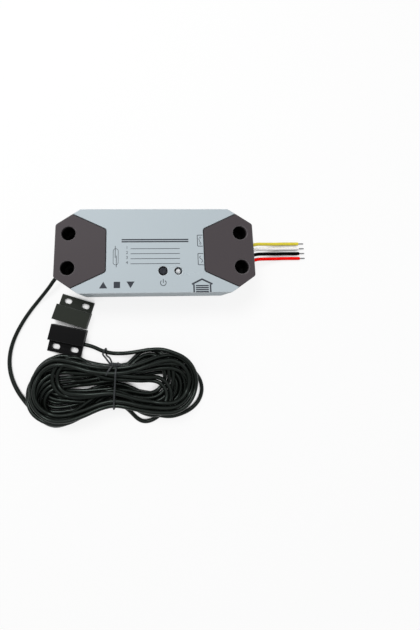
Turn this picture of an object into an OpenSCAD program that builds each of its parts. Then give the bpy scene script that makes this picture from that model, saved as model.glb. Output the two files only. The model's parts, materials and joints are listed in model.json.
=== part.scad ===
// Garage door controller: a flat eight-sided housing with two dark end covers, four hook-up
// leads, and a corded reed switch with its magnet. Millimetres, base of the housing at z = 0,
// +X towards the leads, +Z out of the face.

/* [Housing] */
// Length of the housing, end wall to end wall
housing_l = 122; // [112:1:140]
// Width of the housing, side wall to side wall
housing_w = 52.5; // [50:0.5:60]
// Height of the housing
housing_h = 28; // [26:0.5:34]
// Length that each corner chamfer takes off a side
chamfer_l = 14.9; // [12:0.1:17]
// Width that each corner chamfer takes off an end
chamfer_w = 10; // [8:0.1:11]
// Radius of the upright corners
corner_r = 2; // [0.5:0.1:3]
// Thickness of the moulded walls
wall_t = 2; // [1.8:0.1:2.4]
// Thickness of the base floor
floor_t = 2; // [1.6:0.1:2.6]
// Thickness of the top faces
face_t = 2; // [1.6:0.1:3]
// Height of the parting line above the base
parting_z = 13; // [12.5:0.1:15]
// Height of the locating lip on the base
lip_h = 1.5; // [1:0.1:2]
// Thickness of the locating lip
lip_t = 0.9; // [0.7:0.1:1]
// Clearance around the locating lip
lip_gap = 0.1; // [0.05:0.01:0.2]

/* [End covers] */
// Length of an end cover, from the end wall to its inner edge
cover_l = 30.9; // [29:0.1:33]
// Width of the inner edge of an end cover
cover_inner_w = 26.4; // [24:0.1:28]
// Distance from the end wall to the side tips of an end cover
cover_tip_l = 10; // [8:0.1:12]
// Radius of the inner corners of an end cover
cover_r = 2; // [0.5:0.1:3]
// Seam between the end covers and the face cover
seam = 0.2; // [0.1:0.05:0.4]
// Thickness of the partitions under the seam
partition_t = 1.6; // [1.2:0.1:2]

/* [Mounting holes] */
// Distance from the end wall's outside to a mounting hole
hole_inset_x = 8; // [7.5:0.1:9]
// Spacing of the mounting holes across the housing
hole_spacing_y = 21.4; // [21:0.1:23]
// Diameter of the mounting holes
hole_d = 4.5; // [3.5:0.1:4.8]
// Outside diameter of the posts around the mounting holes
post_d = 6.4; // [6.2:0.1:6.6]
// Diameter of the screw wells in the end covers
well_d = 8.6; // [7:0.1:8.8]
// Wall of the screw wells
well_t = 1; // [0.8:0.1:1.1]
// Floor of the screw wells
well_floor_t = 2; // [1.5:0.1:4]

/* [Case screws] */
// Spacing of the case screws along the housing
case_spacing_x = 48; // [44:1:52]
// Distance from the side wall's outside to a case screw
case_inset = 4.65; // [4.4:0.05:4.8]
// Outside diameter of the case screw columns
case_post_d = 7.6; // [7.4:0.1:7.8]
// Diameter of a case screw
case_screw_d = 2.5; // [2:0.1:3]
// Length of a case screw under its head
case_screw_l = 12; // [8:0.5:14]
// Diameter of a case screw's head
case_head_d = 5; // [4:0.1:5.2]
// Height of a case screw's head
case_head_h = 1.8; // [1.4:0.1:2.2]
// Depth of the counterbores for the heads
case_bore_h = 9; // [7:0.5:10]
// Clearance around screws
screw_gap = 0.1; // [0.05:0.05:0.2]

/* [Circuit board] */
// Distance from the end wall's outside to the circuit board
board_end_gap = 16; // [15:0.5:18]
// Gap between the circuit board and the case screw columns
board_side_gap = 0.6; // [0.3:0.1:1]
// Thickness of the circuit board
board_t = 1.6; // [1:0.1:2]
// Height of the board's standoffs above the floor
standoff_h = 2.4; // [2:0.1:3]
// Diameter of the standoffs
standoff_d = 5.2; // [4.6:0.1:5.6]
// Spacing of the board screws along the board
board_screw_spacing = 52; // [50:1:56]
// Distance of the board screws from the board's sides
board_screw_inset = 2.9; // [2.8:0.1:3.2]
// Diameter of a board screw
board_screw_d = 2; // [1.6:0.1:2.4]
// Diameter of a board screw's head
board_head_d = 4; // [3.4:0.1:4.4]
// Height of a board screw's head
board_head_h = 1.4; // [1:0.1:1.8]

/* [Button and lamp] */
// Place of the button along the housing
button_x = 4.6; // [3:0.1:6]
// Place of the button across the housing
button_y = -12.9; // [-13.5:0.1:-12]
// Diameter of the button cap
button_d = 4.3; // [4:0.1:4.4]
// Running clearance of the button in its guide, on the radius
button_gap = 0.06; // [0.03:0.01:0.1]
// Diameter of the recess around the button
button_recess_d = 5.6; // [5.2:0.1:6]
// Depth of the recess around the button
button_recess_h = 1.1; // [0.8:0.1:1.3]
// Depth of the button's top below the face
button_sink = 0.3; // [0.1:0.1:0.7]
// Travel of the button
button_travel = 0.5; // [0.2:0.05:0.5]
// Depth of the cap's socket on the switch plunger
cap_socket_h = 2; // [1.5:0.1:3]
// Thickness of the stop flange on the cap
cap_flange_h = 1.2; // [0.8:0.1:1.6]
// Width of the stop flange around the cap
cap_rim = 0.9; // [0.6:0.1:1]
// Gap from the stop flange to the guide, and under the plunger when it is pressed
stop_gap = 0.3; // [0.2:0.05:0.5]
// Width of the tact switch
switch_w = 6; // [5:0.1:6.2]
// Height of the tact switch
switch_h = 3.5; // [3:0.1:5]
// Diameter of the tact switch's plunger
plunger_d = 3.4; // [3:0.1:3.5]
// Height of the plunger above the tact switch
plunger_h = 6; // [4:0.5:7]
// Height of the plunger's lower end above the board
plunger_base = 1.4; // [1.2:0.1:2]
// Length of the guide under the face
guide_h = 5; // [3:0.5:7]
// Wall of the button guide and the lamp collar
guide_t = 1; // [0.8:0.1:1.2]
// Place of the lamp along the housing
lamp_x = 13.9; // [13:0.1:15]
// Place of the lamp across the housing
lamp_y = -13; // [-13.5:0.1:-12]
// Diameter of the lamp's lens
lamp_d = 3; // [2.8:0.1:3.2]
// Diameter of the lamp hole in the face
lamp_hole_d = 4.8; // [4.4:0.1:5.2]
// Depth of the lens tip below the face
lamp_sink = 0.3; // [0.1:0.1:1]
// Height of the lens above its flange
lens_h = 4; // [3:0.1:5]
// Thickness of the lens flange
lens_flange_h = 1; // [0.8:0.1:1.2]
// Width of the lens flange around the lens
lens_rim = 0.4; // [0.3:0.05:0.5]
// Thickness of the lamp's legs
leg_w = 0.5; // [0.4:0.05:0.6]
// Distance of the lamp's legs from its middle
leg_offset = 1.27; // [1.2:0.01:1.3]

/* [Board parts] */
// Length of the relay
relay_l = 19; // [15:0.5:20]
// Width of the relay
relay_w = 15; // [12:0.5:16]
// Height of the relay
relay_h = 15; // [10:0.5:16]
// Length of the radio board
radio_l = 24; // [18:0.5:25]
// Width of the radio board
radio_w = 16; // [14:0.5:17]
// Thickness of the radio board
radio_t = 0.8; // [0.6:0.1:1.6]
// Length of the radio shield
shield_l = 15; // [12:0.5:16]
// Width of the radio shield
shield_w = 12; // [10:0.5:13]
// Height of the radio shield
shield_h = 2.4; // [1.6:0.1:3]
// Width of the power inductor
inductor_w = 9; // [7:0.5:9]
// Height of the power inductor's base
inductor_h = 3.6; // [2.5:0.1:5]
// Diameter of the power inductor's core
core_top_d = 7.6; // [6:0.1:8]
// Height of the core above the inductor's base
core_top_h = 0.6; // [0.4:0.1:1]
// Diameter of a capacitor
capacitor_d = 8; // [6:0.5:8]
// Height of a capacitor
capacitor_h = 6.5; // [5:0.5:6.5]
// Length of the regulator chip
chip_l = 6; // [4:0.5:6]
// Width of the regulator chip
chip_w = 5; // [4:0.5:6]
// Height of the regulator chip
chip_h = 1.6; // [1:0.1:2]

/* [Terminals and leads] */
// Pitch of the terminals and of the leads
lead_pitch = 3.5; // [3.4:0.05:3.6]
// Middle of the row of leads across the housing
lead_mid_y = 0.8; // [0.6:0.1:0.9]
// Diameter of a lead
lead_d = 2.3; // [1.8:0.1:2.4]
// Diameter of a lead's bare conductor
conductor_d = 1; // [0.6:0.1:1.2]
// Length of bare conductor at a lead's free end
strip_l = 3.8; // [2:0.2:6]
// Length of a terminal block
terminal_l = 9; // [8:0.5:10]
// Height of a terminal block
terminal_h = 9.5; // [8.5:0.5:11]
// Height of the wire entries above the board
entry_h = 2.6; // [2.2:0.1:3]
// Depth of the wire entries
entry_depth = 3; // [2:0.1:4]
// Gap between neighbouring terminal blocks
terminal_gap = 0.2; // [0.1:0.05:0.4]
// Diameter of a terminal screw
terminal_screw_d = 3; // [2.4:0.1:3.1]
// Depth of the terminal screws below the block's top
terminal_screw_sink = 0.6; // [0.2:0.1:1]
// Clearance of a lead or cord in its bores, on the radius
bore_gap = 0.1; // [0.05:0.01:0.15]
// Distance of the sensor cord's exit from the end wall's corner
cord_corner_gap = 4.25; // [4:0.05:5]
// Height of the sensor cord's exit
cord_exit_z = 7; // [6:0.1:8]
// Thickness of the grommets' flanges
grommet_t = 1; // [0.8:0.1:1.2]
// Width of the grommets' flanges around the wall opening
grommet_rim = 0.8; // [0.6:0.1:1]
// Wall of the grommets between a bore and the wall opening
grommet_wall = 1.1; // [0.8:0.1:1.2]

/* [Sensor pair] */
// Length of a sensor body
sensor_l = 23.2; // [21:0.1:25]
// Depth of a sensor body
sensor_d = 10; // [9:0.1:11]
// Height of a sensor body
sensor_h = 6.4; // [6:0.1:7]
// Length of a sensor's mounting flange
flange_l = 22.2; // [20:0.1:23]
// Depth of a sensor's mounting flange
flange_d = 7.2; // [6.5:0.1:7.5]
// Thickness of a sensor's mounting flange
flange_t = 2.2; // [1.6:0.1:3]
// Length of a flange slot, end to end
slot_l = 5.3; // [4.5:0.1:6]
// Width of a flange slot
slot_w = 3.2; // [2.6:0.1:3.6]
// Spacing of the flange slots
slot_spacing = 12.2; // [11:0.1:13]
// Length of the pocket in a sensor body
pocket_l = 19.4; // [18.8:0.1:20]
// Depth of the pocket in a sensor body
pocket_d = 6.6; // [6:0.1:7]
// Height of the pocket in a sensor body
pocket_h = 4.8; // [4.6:0.1:5]
// Thickness of the fill or plate that closes a pocket
back_t = 1.4; // [1:0.1:1.5]
// Clearance of the parts in a pocket
pocket_gap = 0.05; // [0.02:0.01:0.1]
// Diameter of the reed capsule
capsule_d = 2.4; // [2:0.1:2.8]
// Length of the reed capsule
capsule_l = 12; // [10:0.5:13]
// Diameter of a reed blade outside the capsule
blade_d = 0.6; // [0.4:0.1:0.8]
// Length of a reed blade outside the capsule
blade_l = 2; // [1:0.1:2.5]
// Clearance around the bar magnet
magnet_gap = 0.3; // [0.1:0.05:0.5]

/* [Sensor cord] */
// Diameter of the sensor cord
cord_d = 2.5; // [2.2:0.1:2.6]
// Diameter of a core inside the sensor cord
core_d = 1; // [0.8:0.1:1.1]
// Turns of the hank in each layer
layer_turns = 4; // [3:1:5]
// Layers of the hank
layers = 4; // [2:2:4]
// Gap from one turn of the hank to the next
turn_gap = 0.68; // [0.66:0.02:1]
// Gap from one layer of the hank to the next
layer_gap = 0.75; // [0.7:0.05:1.2]
// Distance from the hank's waist to the middle of an end loop
loop_x = 32; // [28:1:38]
// Radius of the smallest end loop
loop_r = 7.5; // [7:0.1:9]
// Distance of the innermost run from the hank's middle at the waist
waist_y = 0.95; // [0.85:0.05:2]
// Reach of the loose outer loops past the rest
stray_reach = 5; // [0:0.5:8]
// Reach of the loose first run past the rest
loose_reach = 4; // [0:0.5:6]
// Diameter of the tie's wire
tie_d = 1; // [0.8:0.1:1.2]
// Radius of the tie's bends
tie_bend_r = 2; // [1.5:0.1:3]
// Gap between the tie and the cord
tie_gap = 0.35; // [0.3:0.05:0.6]
// Diameter of the twisted link between the tie's two rings
link_d = 1.2; // [1:0.1:1.6]

/* [Hidden] */
$fn = 48;
eps = 0.01;
over = 1;

// Heights
face_under = housing_h - face_t;
board_z = floor_t + standoff_h;
board_top = board_z + board_t;
lead_z = board_top + entry_h;

// Housing outline, counter-clockwise, and the zone of the right end cover, which runs out past it
half_l = housing_l / 2;
half_w = housing_w / 2;
end_y = half_w - chamfer_w;
side_x = half_l - chamfer_l;
outline = [[half_l, -end_y], [half_l, end_y], [side_x, half_w], [-side_x, half_w],
    [-half_l, end_y], [-half_l, -end_y], [-side_x, -half_w], [side_x, -half_w]];
cover_x = half_l - cover_l;
cover_y = cover_inner_w / 2;
tip_x = half_l - cover_tip_l;
tip_y = end_y + cover_tip_l * chamfer_w / chamfer_l;
zone_x = half_l + chamfer_l;
zone_y = cover_y + (zone_x - cover_x) * (tip_y - cover_y) / (tip_x - cover_x);
cover_zone = [[zone_x, -zone_y], [zone_x, zone_y], [cover_x, cover_y], [cover_x, -cover_y]];
zone_radii = [0, 0, cover_r, cover_r];

// Places that repeat
signs = [-1, 1];
hole_x = half_l - hole_inset_x;
hole_y = hole_spacing_y / 2;
case_x = case_spacing_x / 2;
case_y = half_w - case_inset;
board_l = housing_l - 2 * board_end_gap;
board_w = 2 * (case_y - case_post_d / 2 - board_side_gap);
standoff_x = board_screw_spacing / 2;
standoff_y = board_w / 2 - board_screw_inset;

// Button stack on the board
plunger_top = board_top + switch_h + plunger_h;
button_top = housing_h - button_sink;
guide_z = face_under - guide_h;
cap_flange_d = button_d + 2 * cap_rim;

// Lamp stack on the board
lens_flange_d = lamp_d + 2 * lens_rim;
lens_z = housing_h - lamp_sink - lens_h - lens_flange_h;

// Terminals: their outer faces line up with the board's ends
terminal_x = board_l / 2 - terminal_l / 2;
terminal_w = 2 * lead_pitch - terminal_gap;
sensor_mid_y = -2.2;
lead_ys = [for (i = [1.5, 0.5, -0.5, -1.5]) lead_mid_y + i * lead_pitch];
output_mid_y = lead_mid_y + lead_pitch;
power_mid_y = lead_mid_y - lead_pitch;

// Places of the other parts on the board
relay_at = [13.5, 7.5];
radio_at = [-11.2, -7];
shield_shift = 3.5;
inductor_at = [-2.3, 9];
capacitors_at = [[-19.6, 7], [-11.2, 7]];
chip_at = [13 - board_l / 2, -8.8];

// Sensor places, measured from the housing's front wall: middle of each footprint and its turn, with
// the flange of the reed turned round
front = [0, -half_w, 0];
magnet_at = front + [-53.4, -9.15, 0];
magnet_turn = -17.5;
reed_at = front + [-57.4, -28.05, 0];
reed_turn = 168;
body_y = -flange_d / 2;
flange_y = sensor_d / 2;

// Route of a lead from its terminal: distance along X, drift across, and height
lead_route = [[board_l / 2 - entry_depth / 2, 0, lead_z], [half_l - wall_t, 0, lead_z],
    [half_l + 2, 0, lead_z], [half_l + 4.5, 0.5, lead_z - 0.1], [half_l + 7, 1.4, lead_z - 0.6],
    [half_l + 10, 2.1, lead_z - 1.5], [half_l + 14, 2.5, 5.6], [half_l + 19, 2.9, 3.8],
    [half_l + 24, 3.2, 2.4], [half_l + 29, 3.5, 1.6], [half_l + 34, 3.6, 1.2],
    [half_l + 37, 3.6, 1.2], [half_l + 41.4, 3.6, 1.2]];

// Route of the sensor cord from its grommet to the hank: steps from the grommet, then from the front wall
cord_exit = [-half_l, cord_corner_gap - end_y, cord_exit_z];
start_route = concat([for (p = [[2.6, 0, 0], [-1.3, 0, 0], [-3, -0.6, -0.2], [-4.7, -2.2, -0.8],
    [-6.2, -4.4, -1.6], [-8, -7, -2.7], [-10.5, -10, -4], [-13.3, -13, -5], [-16.3, -16.4, -5.6]])
    cord_exit + p],
    [for (p = [[-81, -6.75, 1.3], [-84.6, -12.15, 1.3], [-87.8, -17.75, 1.3], [-90.6, -23.75, 1.3],
        [-92.6, -29.75, 1.3], [-93.6, -35.75, 1.3], [-93.6, -41.75, 1.3], [-92.4, -47.75, 1.3],
        [-90, -53.75, 1.3], [-86.4, -59.75, 1.3], [-81.6, -65.55, 1.3], [-76.4, -70.75, 1.3],
        [-70.6, -74.55, 1.3], [-66, -76.25, 1.3]]) front + p]);

// Route of the cord's two cores from the grommet, round the post of a mounting hole
core_route = concat([cord_exit + [2.6, 0, 0], cord_exit + [3.6, 0, 0]],
    [for (p = [[-4.1, 1.3, 0.2], [-3.7, 3.1, 0.5], [-1.8, 5.3, 1], [1.5, 7.3, 1.4]])
        [-hole_x, -hole_y, cord_exit_z] + p]);

// Route of the sensor cord from the hank to the reed switch
tail_route = [for (p = [[8, -34.35, 11.05], [5.5, -34.15, 10.95], [2, -34.05, 10.1], [-2, -34.25, 8.4],
    [-6.5, -34.85, 6.2], [-11, -35.55, 4.2], [-16, -36.25, 2.6], [-21, -36.75, 1.8], [-26, -36.75, 2],
    [-30, -36.25, 2.6], [-34, -35.15, 2.9], [-37.6, -33.45, 2.9], [-41, -31.85, 3.1],
    [-44, -31.15, 3.1], [-48, -30.35, 3.1]])
    front + p];

// Hank: its middle, the stretch of turns, and how far each layer's end loops lie out and up
hank_at = front + [-25.5, -56.35, 0];
turn_step = cord_d + turn_gap;
layer_step = cord_d + layer_gap;
floor_gap = 0.05;
hank_turns = layer_turns * layers;
first_turn = -0.12;
last_turn = hank_turns + 0.38;
rings_per_turn = 24;
run_share = 0.1;
tie_lift = tie_d + tie_gap + floor_gap;
lift_l = 14;
climb_turns = 0.4;
left_shift = [[0, 1], [1, -1.5], [2, 0.5], [3, -2.5]];
left_rise = [[0, -0.6], [1, 0.5], [2, -0.4], [3, 0.5]];
right_shift = [[0, -1.5], [1, 0.5], [2, -1], [3, 1]];
right_rise = [[0, -0.5], [1, 0.4], [2, -0.4], [3, 0.3]];
loose_x = 20;
loose_l = 8;

// Place and turn of the tie's ring round the tail
tie_tail_at = front + [-33, -35.45, 2.82];
tie_tail_turn = 75;

// Wall opening of the lead grommet
slot_r = lead_d / 2 + grommet_wall;
cord_slot_d = cord_d + 2 * grommet_wall;

// Colours that repeat
plastic_grey = [0.73, 0.77, 0.8];
cover_brown = [0.31, 0.29, 0.3];
black = [0.08, 0.08, 0.09];
metal = [0.75, 0.75, 0.77];

function unit(v) = v / norm(v);
function inward(a, b) = unit([a[1] - b[1], b[0] - a[0]]);
function at(list, i) = list[(i + len(list)) % len(list)];

// Outline moved inwards by d, with mitred corners
function inset(p, d) = [for (i = [0:len(p) - 1])
    let (a = inward(at(p, i - 1), p[i]), b = inward(p[i], at(p, i + 1)))
    p[i] + d * (a + b) / (1 + a * b)];

// Outline with its corners rounded to the given radii
function rounded(p, radii, steps = 6) = [for (i = [0:len(p) - 1])
    let (a = inward(at(p, i - 1), p[i]), b = inward(p[i], at(p, i + 1)),
        turn = atan2(a[0] * b[1] - a[1] * b[0], a * b), side = sign(turn), r = radii[i],
        mid = p[i] + side * r * (a + b) / (1 + a * b))
    for (k = [0:r > 0 ? steps : 0])
        let (t = turn * k / steps, n = [a[0] * cos(t) - a[1] * sin(t), a[0] * sin(t) + a[1] * cos(t)])
        mid - side * r * n];

// Upright prism of an outline between two heights
module prism(p, z0, z1) {
    translate([0, 0, z0])
        linear_extrude(z1 - z0)
            polygon(p);
}

// Housing outline moved inwards by d, with its corners following
module housing_prism(d, z0, z1) {
    r = max(corner_r - d, 0);
    prism(rounded(inset(outline, d), [for (i = outline) r]), z0, z1);
}

// Zone of an end cover, grown by d
module zone_prism(side, d, z0, z1) {
    mirror([side > 0 ? 0 : 1, 0, 0])
        prism(rounded(inset(cover_zone, -d), zone_radii), z0, z1);
}

// Ring under the parting line's locating lip
module lip_ring(gap, h) {
    difference() {
        housing_prism(wall_t - lip_t - gap, parting_z - gap, parting_z + h + gap);
        housing_prism(wall_t + gap, parting_z - over, parting_z + h + over);
    }
}

module at_corners(x, y) {
    for (i = signs, j = signs)
        translate([i * x, j * y, 0])
            children();
}

module bar_x(d, x0, x1, y, z) {
    translate([x0, y, z])
        rotate([0, 90, 0])
            cylinder(d = d, h = x1 - x0);
}

// Round bar between two points
module rod(a, b, d) {
    v = b - a;
    translate(a)
        rotate([0, acos(v[2] / norm(v)), atan2(v[1], v[0])])
            cylinder(d = d, h = norm(v));
}

// Long rounded bar through the lead wall, grown by d
module lead_slot(d, x0, x1) {
    r = slot_r + d;
    y0 = lead_mid_y - 1.5 * lead_pitch;
    y1 = lead_mid_y + 1.5 * lead_pitch;
    for (y = [y0, y1])
        bar_x(2 * r, x0, x1, y, lead_z);
    translate([x0, y0, lead_z - r])
        cube([x1 - x0, y1 - y0, 2 * r]);
}

module base_shell() {
    color(plastic_grey)
        difference() {
            union() {
                difference() {
                    housing_prism(0, 0, parting_z);
                    housing_prism(wall_t, floor_t, parting_z + over);
                }
                difference() {
                    housing_prism(wall_t - lip_t, parting_z - lip_h, parting_z + lip_h);
                    housing_prism(wall_t, parting_z - lip_h - over, parting_z + lip_h + over);
                }
                at_corners(hole_x, hole_y)
                    cylinder(d = post_d, h = parting_z);
                at_corners(case_x, case_y)
                    cylinder(d = case_post_d, h = parting_z);
                at_corners(standoff_x, standoff_y)
                    cylinder(d = standoff_d, h = board_z);
            }
            at_corners(hole_x, hole_y)
                translate([0, 0, -over])
                    cylinder(d = hole_d, h = parting_z + 2 * over);
            at_corners(case_x, case_y) {
                translate([0, 0, -over])
                    cylinder(d = case_head_d + 4 * screw_gap, h = case_bore_h + over);
                cylinder(d = case_screw_d + 2 * screw_gap, h = parting_z + over);
            }
            at_corners(standoff_x, standoff_y)
                translate([0, 0, floor_t])
                    cylinder(d = board_screw_d + 2 * screw_gap, h = board_z);
            lead_slot(bore_gap, half_l - wall_t - over, half_l + over);
            bar_x(cord_slot_d + 2 * bore_gap, -half_l - over, -half_l + wall_t + over,
                cord_exit[1], cord_exit[2]);
        }
}

module face_cover() {
    color(plastic_grey)
        difference() {
            union() {
                difference() {
                    housing_prism(0, parting_z, housing_h);
                    housing_prism(wall_t, parting_z - over, face_under);
                }
                intersection() {
                    housing_prism(0, parting_z, housing_h);
                    for (side = signs)
                        zone_prism(side, seam + partition_t, parting_z, housing_h);
                }
                at_corners(case_x, case_y)
                    translate([0, 0, parting_z])
                        cylinder(d = case_post_d, h = face_under - parting_z + eps);
                translate([button_x, button_y, guide_z])
                    cylinder(d = button_d + 2 * button_gap + 2 * guide_t, h = guide_h + eps);
                translate([lamp_x, lamp_y, guide_z])
                    cylinder(d = lamp_hole_d + 2 * guide_t, h = guide_h + eps);
            }
            for (side = signs)
                zone_prism(side, seam, parting_z - over, housing_h + over);
            lip_ring(lip_gap, lip_h);
            at_corners(case_x, case_y)
                translate([0, 0, parting_z - over])
                    cylinder(d = case_screw_d + 2 * screw_gap, h = case_screw_l);
            translate([button_x, button_y, guide_z - over])
                cylinder(d = button_d + 2 * button_gap, h = guide_h + face_t + 2 * over);
            translate([button_x, button_y, housing_h - button_recess_h])
                cylinder(d = button_recess_d, h = button_recess_h + over);
            translate([lamp_x, lamp_y, guide_z - over])
                cylinder(d = lamp_hole_d, h = guide_h + face_t + 2 * over);
        }
}

module end_cover(side) {
    difference() {
        intersection() {
            union() {
                difference() {
                    housing_prism(0, parting_z, housing_h);
                    housing_prism(wall_t, parting_z - over, face_under);
                }
                for (j = signs)
                    translate([side * hole_x, j * hole_y, parting_z])
                        cylinder(d = well_d + 2 * well_t, h = face_under - parting_z + eps);
            }
            zone_prism(side, 0, parting_z - over, housing_h + over);
        }
        lip_ring(lip_gap, lip_h);
        for (j = signs)
            translate([side * hole_x, j * hole_y, 0]) {
                translate([0, 0, parting_z + well_floor_t])
                    cylinder(d = well_d, h = housing_h);
                translate([0, 0, parting_z - over])
                    cylinder(d = hole_d, h = housing_h);
            }
    }
}

module left_end_cover() {
    color(cover_brown)
        end_cover(-1);
}

module right_end_cover() {
    color(cover_brown)
        end_cover(1);
}

// Screw standing on its tip, head up, with a crossed drive
module screw(d, l, head_d, head_h) {
    drive_l = 0.6 * head_d;
    drive_w = 0.16 * head_d;
    difference() {
        union() {
            cylinder(d = d, h = l + eps);
            translate([0, 0, l])
                cylinder(d = head_d, h = head_h);
        }
        for (a = [0, 90])
            translate([0, 0, l + head_h])
                rotate(a)
                    cube([drive_l, drive_w, head_h], center = true);
    }
}

module case_screws() {
    color(metal)
        at_corners(case_x, case_y)
            translate([0, 0, case_bore_h + case_screw_l])
                mirror([0, 0, 1])
                    screw(case_screw_d, case_screw_l, case_head_d, case_head_h);
}

module circuit_board() {
    color([0.1, 0.35, 0.22])
        difference() {
            translate([-board_l / 2, -board_w / 2, board_z])
                cube([board_l, board_w, board_t]);
            at_corners(standoff_x, standoff_y)
                translate([0, 0, board_z - over])
                    cylinder(d = board_screw_d + 2 * screw_gap, h = board_t + 2 * over);
        }
}

module board_screws() {
    l = board_t + standoff_h - 2 * screw_gap;
    color(metal)
        at_corners(standoff_x, standoff_y)
            translate([0, 0, board_top - l])
                screw(board_screw_d, l, board_head_d, board_head_h);
}

module button_cap() {
    color([0.17, 0.18, 0.21])
        translate([button_x, button_y, 0])
            difference() {
                union() {
                    translate([0, 0, plunger_top - cap_socket_h])
                        cylinder(d = button_d, h = button_top - plunger_top + cap_socket_h);
                    translate([0, 0, guide_z - cap_flange_h - stop_gap])
                        cylinder(d = cap_flange_d, h = cap_flange_h);
                }
                translate([0, 0, plunger_top - cap_socket_h - over])
                    cylinder(d = plunger_d + 2 * pocket_gap, h = cap_socket_h + over);
            }
}

module tact_switch() {
    color([0.12, 0.12, 0.13])
        translate([button_x, button_y, board_top])
            difference() {
                translate([-switch_w / 2, -switch_w / 2, 0])
                    cube([switch_w, switch_w, switch_h]);
                translate([0, 0, plunger_base - button_travel - stop_gap])
                    cylinder(d = plunger_d + 2 * button_gap, h = switch_h);
            }
}

module tact_plunger() {
    color([0.3, 0.3, 0.32])
        translate([button_x, button_y, board_top + plunger_base])
            cylinder(d = plunger_d, h = plunger_top - board_top - plunger_base);
}

module indicator_lens() {
    color([0.9, 0.92, 0.95, 0.7])
        translate([lamp_x, lamp_y, lens_z]) {
            cylinder(d = lens_flange_d, h = lens_flange_h);
            cylinder(d = lamp_d, h = lens_flange_h + lens_h - lamp_d / 2);
            translate([0, 0, lens_flange_h + lens_h - lamp_d / 2])
                sphere(d = lamp_d);
        }
}

module lamp_legs() {
    color(metal)
        for (i = signs)
            translate([lamp_x + i * leg_offset - leg_w / 2, lamp_y - leg_w / 2, board_top])
                cube([leg_w, leg_w, lens_z - board_top]);
}

module lamp_spacer() {
    leg_hole = leg_w + 2 * pocket_gap;
    color(black)
        translate([lamp_x, lamp_y, board_top])
            difference() {
                cylinder(d = lens_flange_d, h = lens_z - board_top);
                for (i = signs)
                    translate([i * leg_offset - leg_hole / 2, -leg_hole / 2, -over])
                        cube([leg_hole, leg_hole, lens_z]);
            }
}

// Block standing on the board, given its middle and size
module on_board(place, size, z = 0) {
    translate([place[0] - size[0] / 2, place[1] - size[1] / 2, board_top + z])
        cube(size);
}

module radio_board() {
    color([0.08, 0.16, 0.3])
        on_board(radio_at, [radio_l, radio_w, radio_t]);
}

module radio_shield() {
    color(metal)
        on_board(radio_at + [shield_shift, 0], [shield_l, shield_w, shield_h], radio_t);
}

module relay() {
    color([0.1, 0.25, 0.55])
        on_board(relay_at, [relay_l, relay_w, relay_h]);
}

module power_inductor() {
    color([0.25, 0.25, 0.26]) {
        on_board(inductor_at, [inductor_w, inductor_w, inductor_h]);
        translate([inductor_at[0], inductor_at[1], board_top + inductor_h])
            cylinder(d = core_top_d, h = core_top_h);
    }
}

module capacitors() {
    color([0.15, 0.15, 0.22])
        for (place = capacitors_at)
            translate([place[0], place[1], board_top])
                cylinder(d = capacitor_d, h = capacitor_h);
}

module regulator_chip() {
    color(black)
        on_board(chip_at, [chip_l, chip_w, chip_h]);
}

// Two-way terminal block with its wire entries on the side given
module terminal(side, mid_y) {
    difference() {
        on_board([side * terminal_x, mid_y], [terminal_l, terminal_w, terminal_h]);
        for (i = signs) {
            y = mid_y + i * lead_pitch / 2;
            bar_x(lead_d + 2 * bore_gap, side * board_l / 2 - entry_depth,
                side * board_l / 2 + entry_depth, y, lead_z);
            translate([side * terminal_x, y, board_top + entry_h])
                cylinder(d = terminal_screw_d + 2 * pocket_gap, h = terminal_h);
        }
    }
}

module power_terminal() {
    color([0.15, 0.45, 0.25])
        terminal(1, power_mid_y);
}

module output_terminal() {
    color([0.15, 0.45, 0.25])
        terminal(1, output_mid_y);
}

module sensor_terminal() {
    color([0.15, 0.45, 0.25])
        terminal(-1, sensor_mid_y);
}

module terminal_screws() {
    h = terminal_h - entry_h - terminal_screw_sink;
    drive_w = terminal_screw_d / 6;
    drive_h = terminal_screw_d / 5;
    color(metal)
        for (t = [[1, power_mid_y], [1, output_mid_y], [-1, sensor_mid_y]], i = signs)
            translate([t[0] * terminal_x, t[1] + i * lead_pitch / 2, board_top + entry_h])
                difference() {
                    cylinder(d = terminal_screw_d, h = h);
                    translate([0, 0, h])
                        cube([2 * terminal_screw_d, drive_w, 2 * drive_h], center = true);
                }
}

module lead_grommet() {
    color(black)
        difference() {
            union() {
                lead_slot(0, half_l - wall_t - grommet_t, half_l + grommet_t);
                lead_slot(grommet_rim, half_l, half_l + grommet_t);
                lead_slot(grommet_rim, half_l - wall_t - grommet_t, half_l - wall_t);
            }
            for (y = lead_ys)
                bar_x(lead_d + 2 * bore_gap, half_l - wall_t - 2 * grommet_t,
                    half_l + 2 * grommet_t, y, lead_z);
        }
}

module cord_grommet() {
    rim_d = cord_slot_d + 2 * grommet_rim;
    y = cord_exit[1];
    z = cord_exit[2];
    color(black)
        difference() {
            union() {
                bar_x(cord_slot_d, -half_l - grommet_t, -half_l + wall_t + grommet_t, y, z);
                bar_x(rim_d, -half_l - grommet_t, -half_l, y, z);
                bar_x(rim_d, -half_l + wall_t, -half_l + wall_t + grommet_t, y, z);
            }
            bar_x(cord_d + 2 * bore_gap, -half_l - 2 * grommet_t, -half_l + wall_t + 2 * grommet_t, y, z);
        }
}

// Round tube of triangles swept along a list of points
function tube_points(path, d, sides) = [for (i = [0:len(path) - 1])
    let (t = unit(path[min(i + 1, len(path) - 1)] - path[max(i - 1, 0)]),
        s = unit(cross(t, [0, 0, 1])), u = cross(s, t))
    for (j = [0:sides - 1])
        path[i] + d / 2 * (cos(360 * j / sides) * s + sin(360 * j / sides) * u)];

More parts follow.
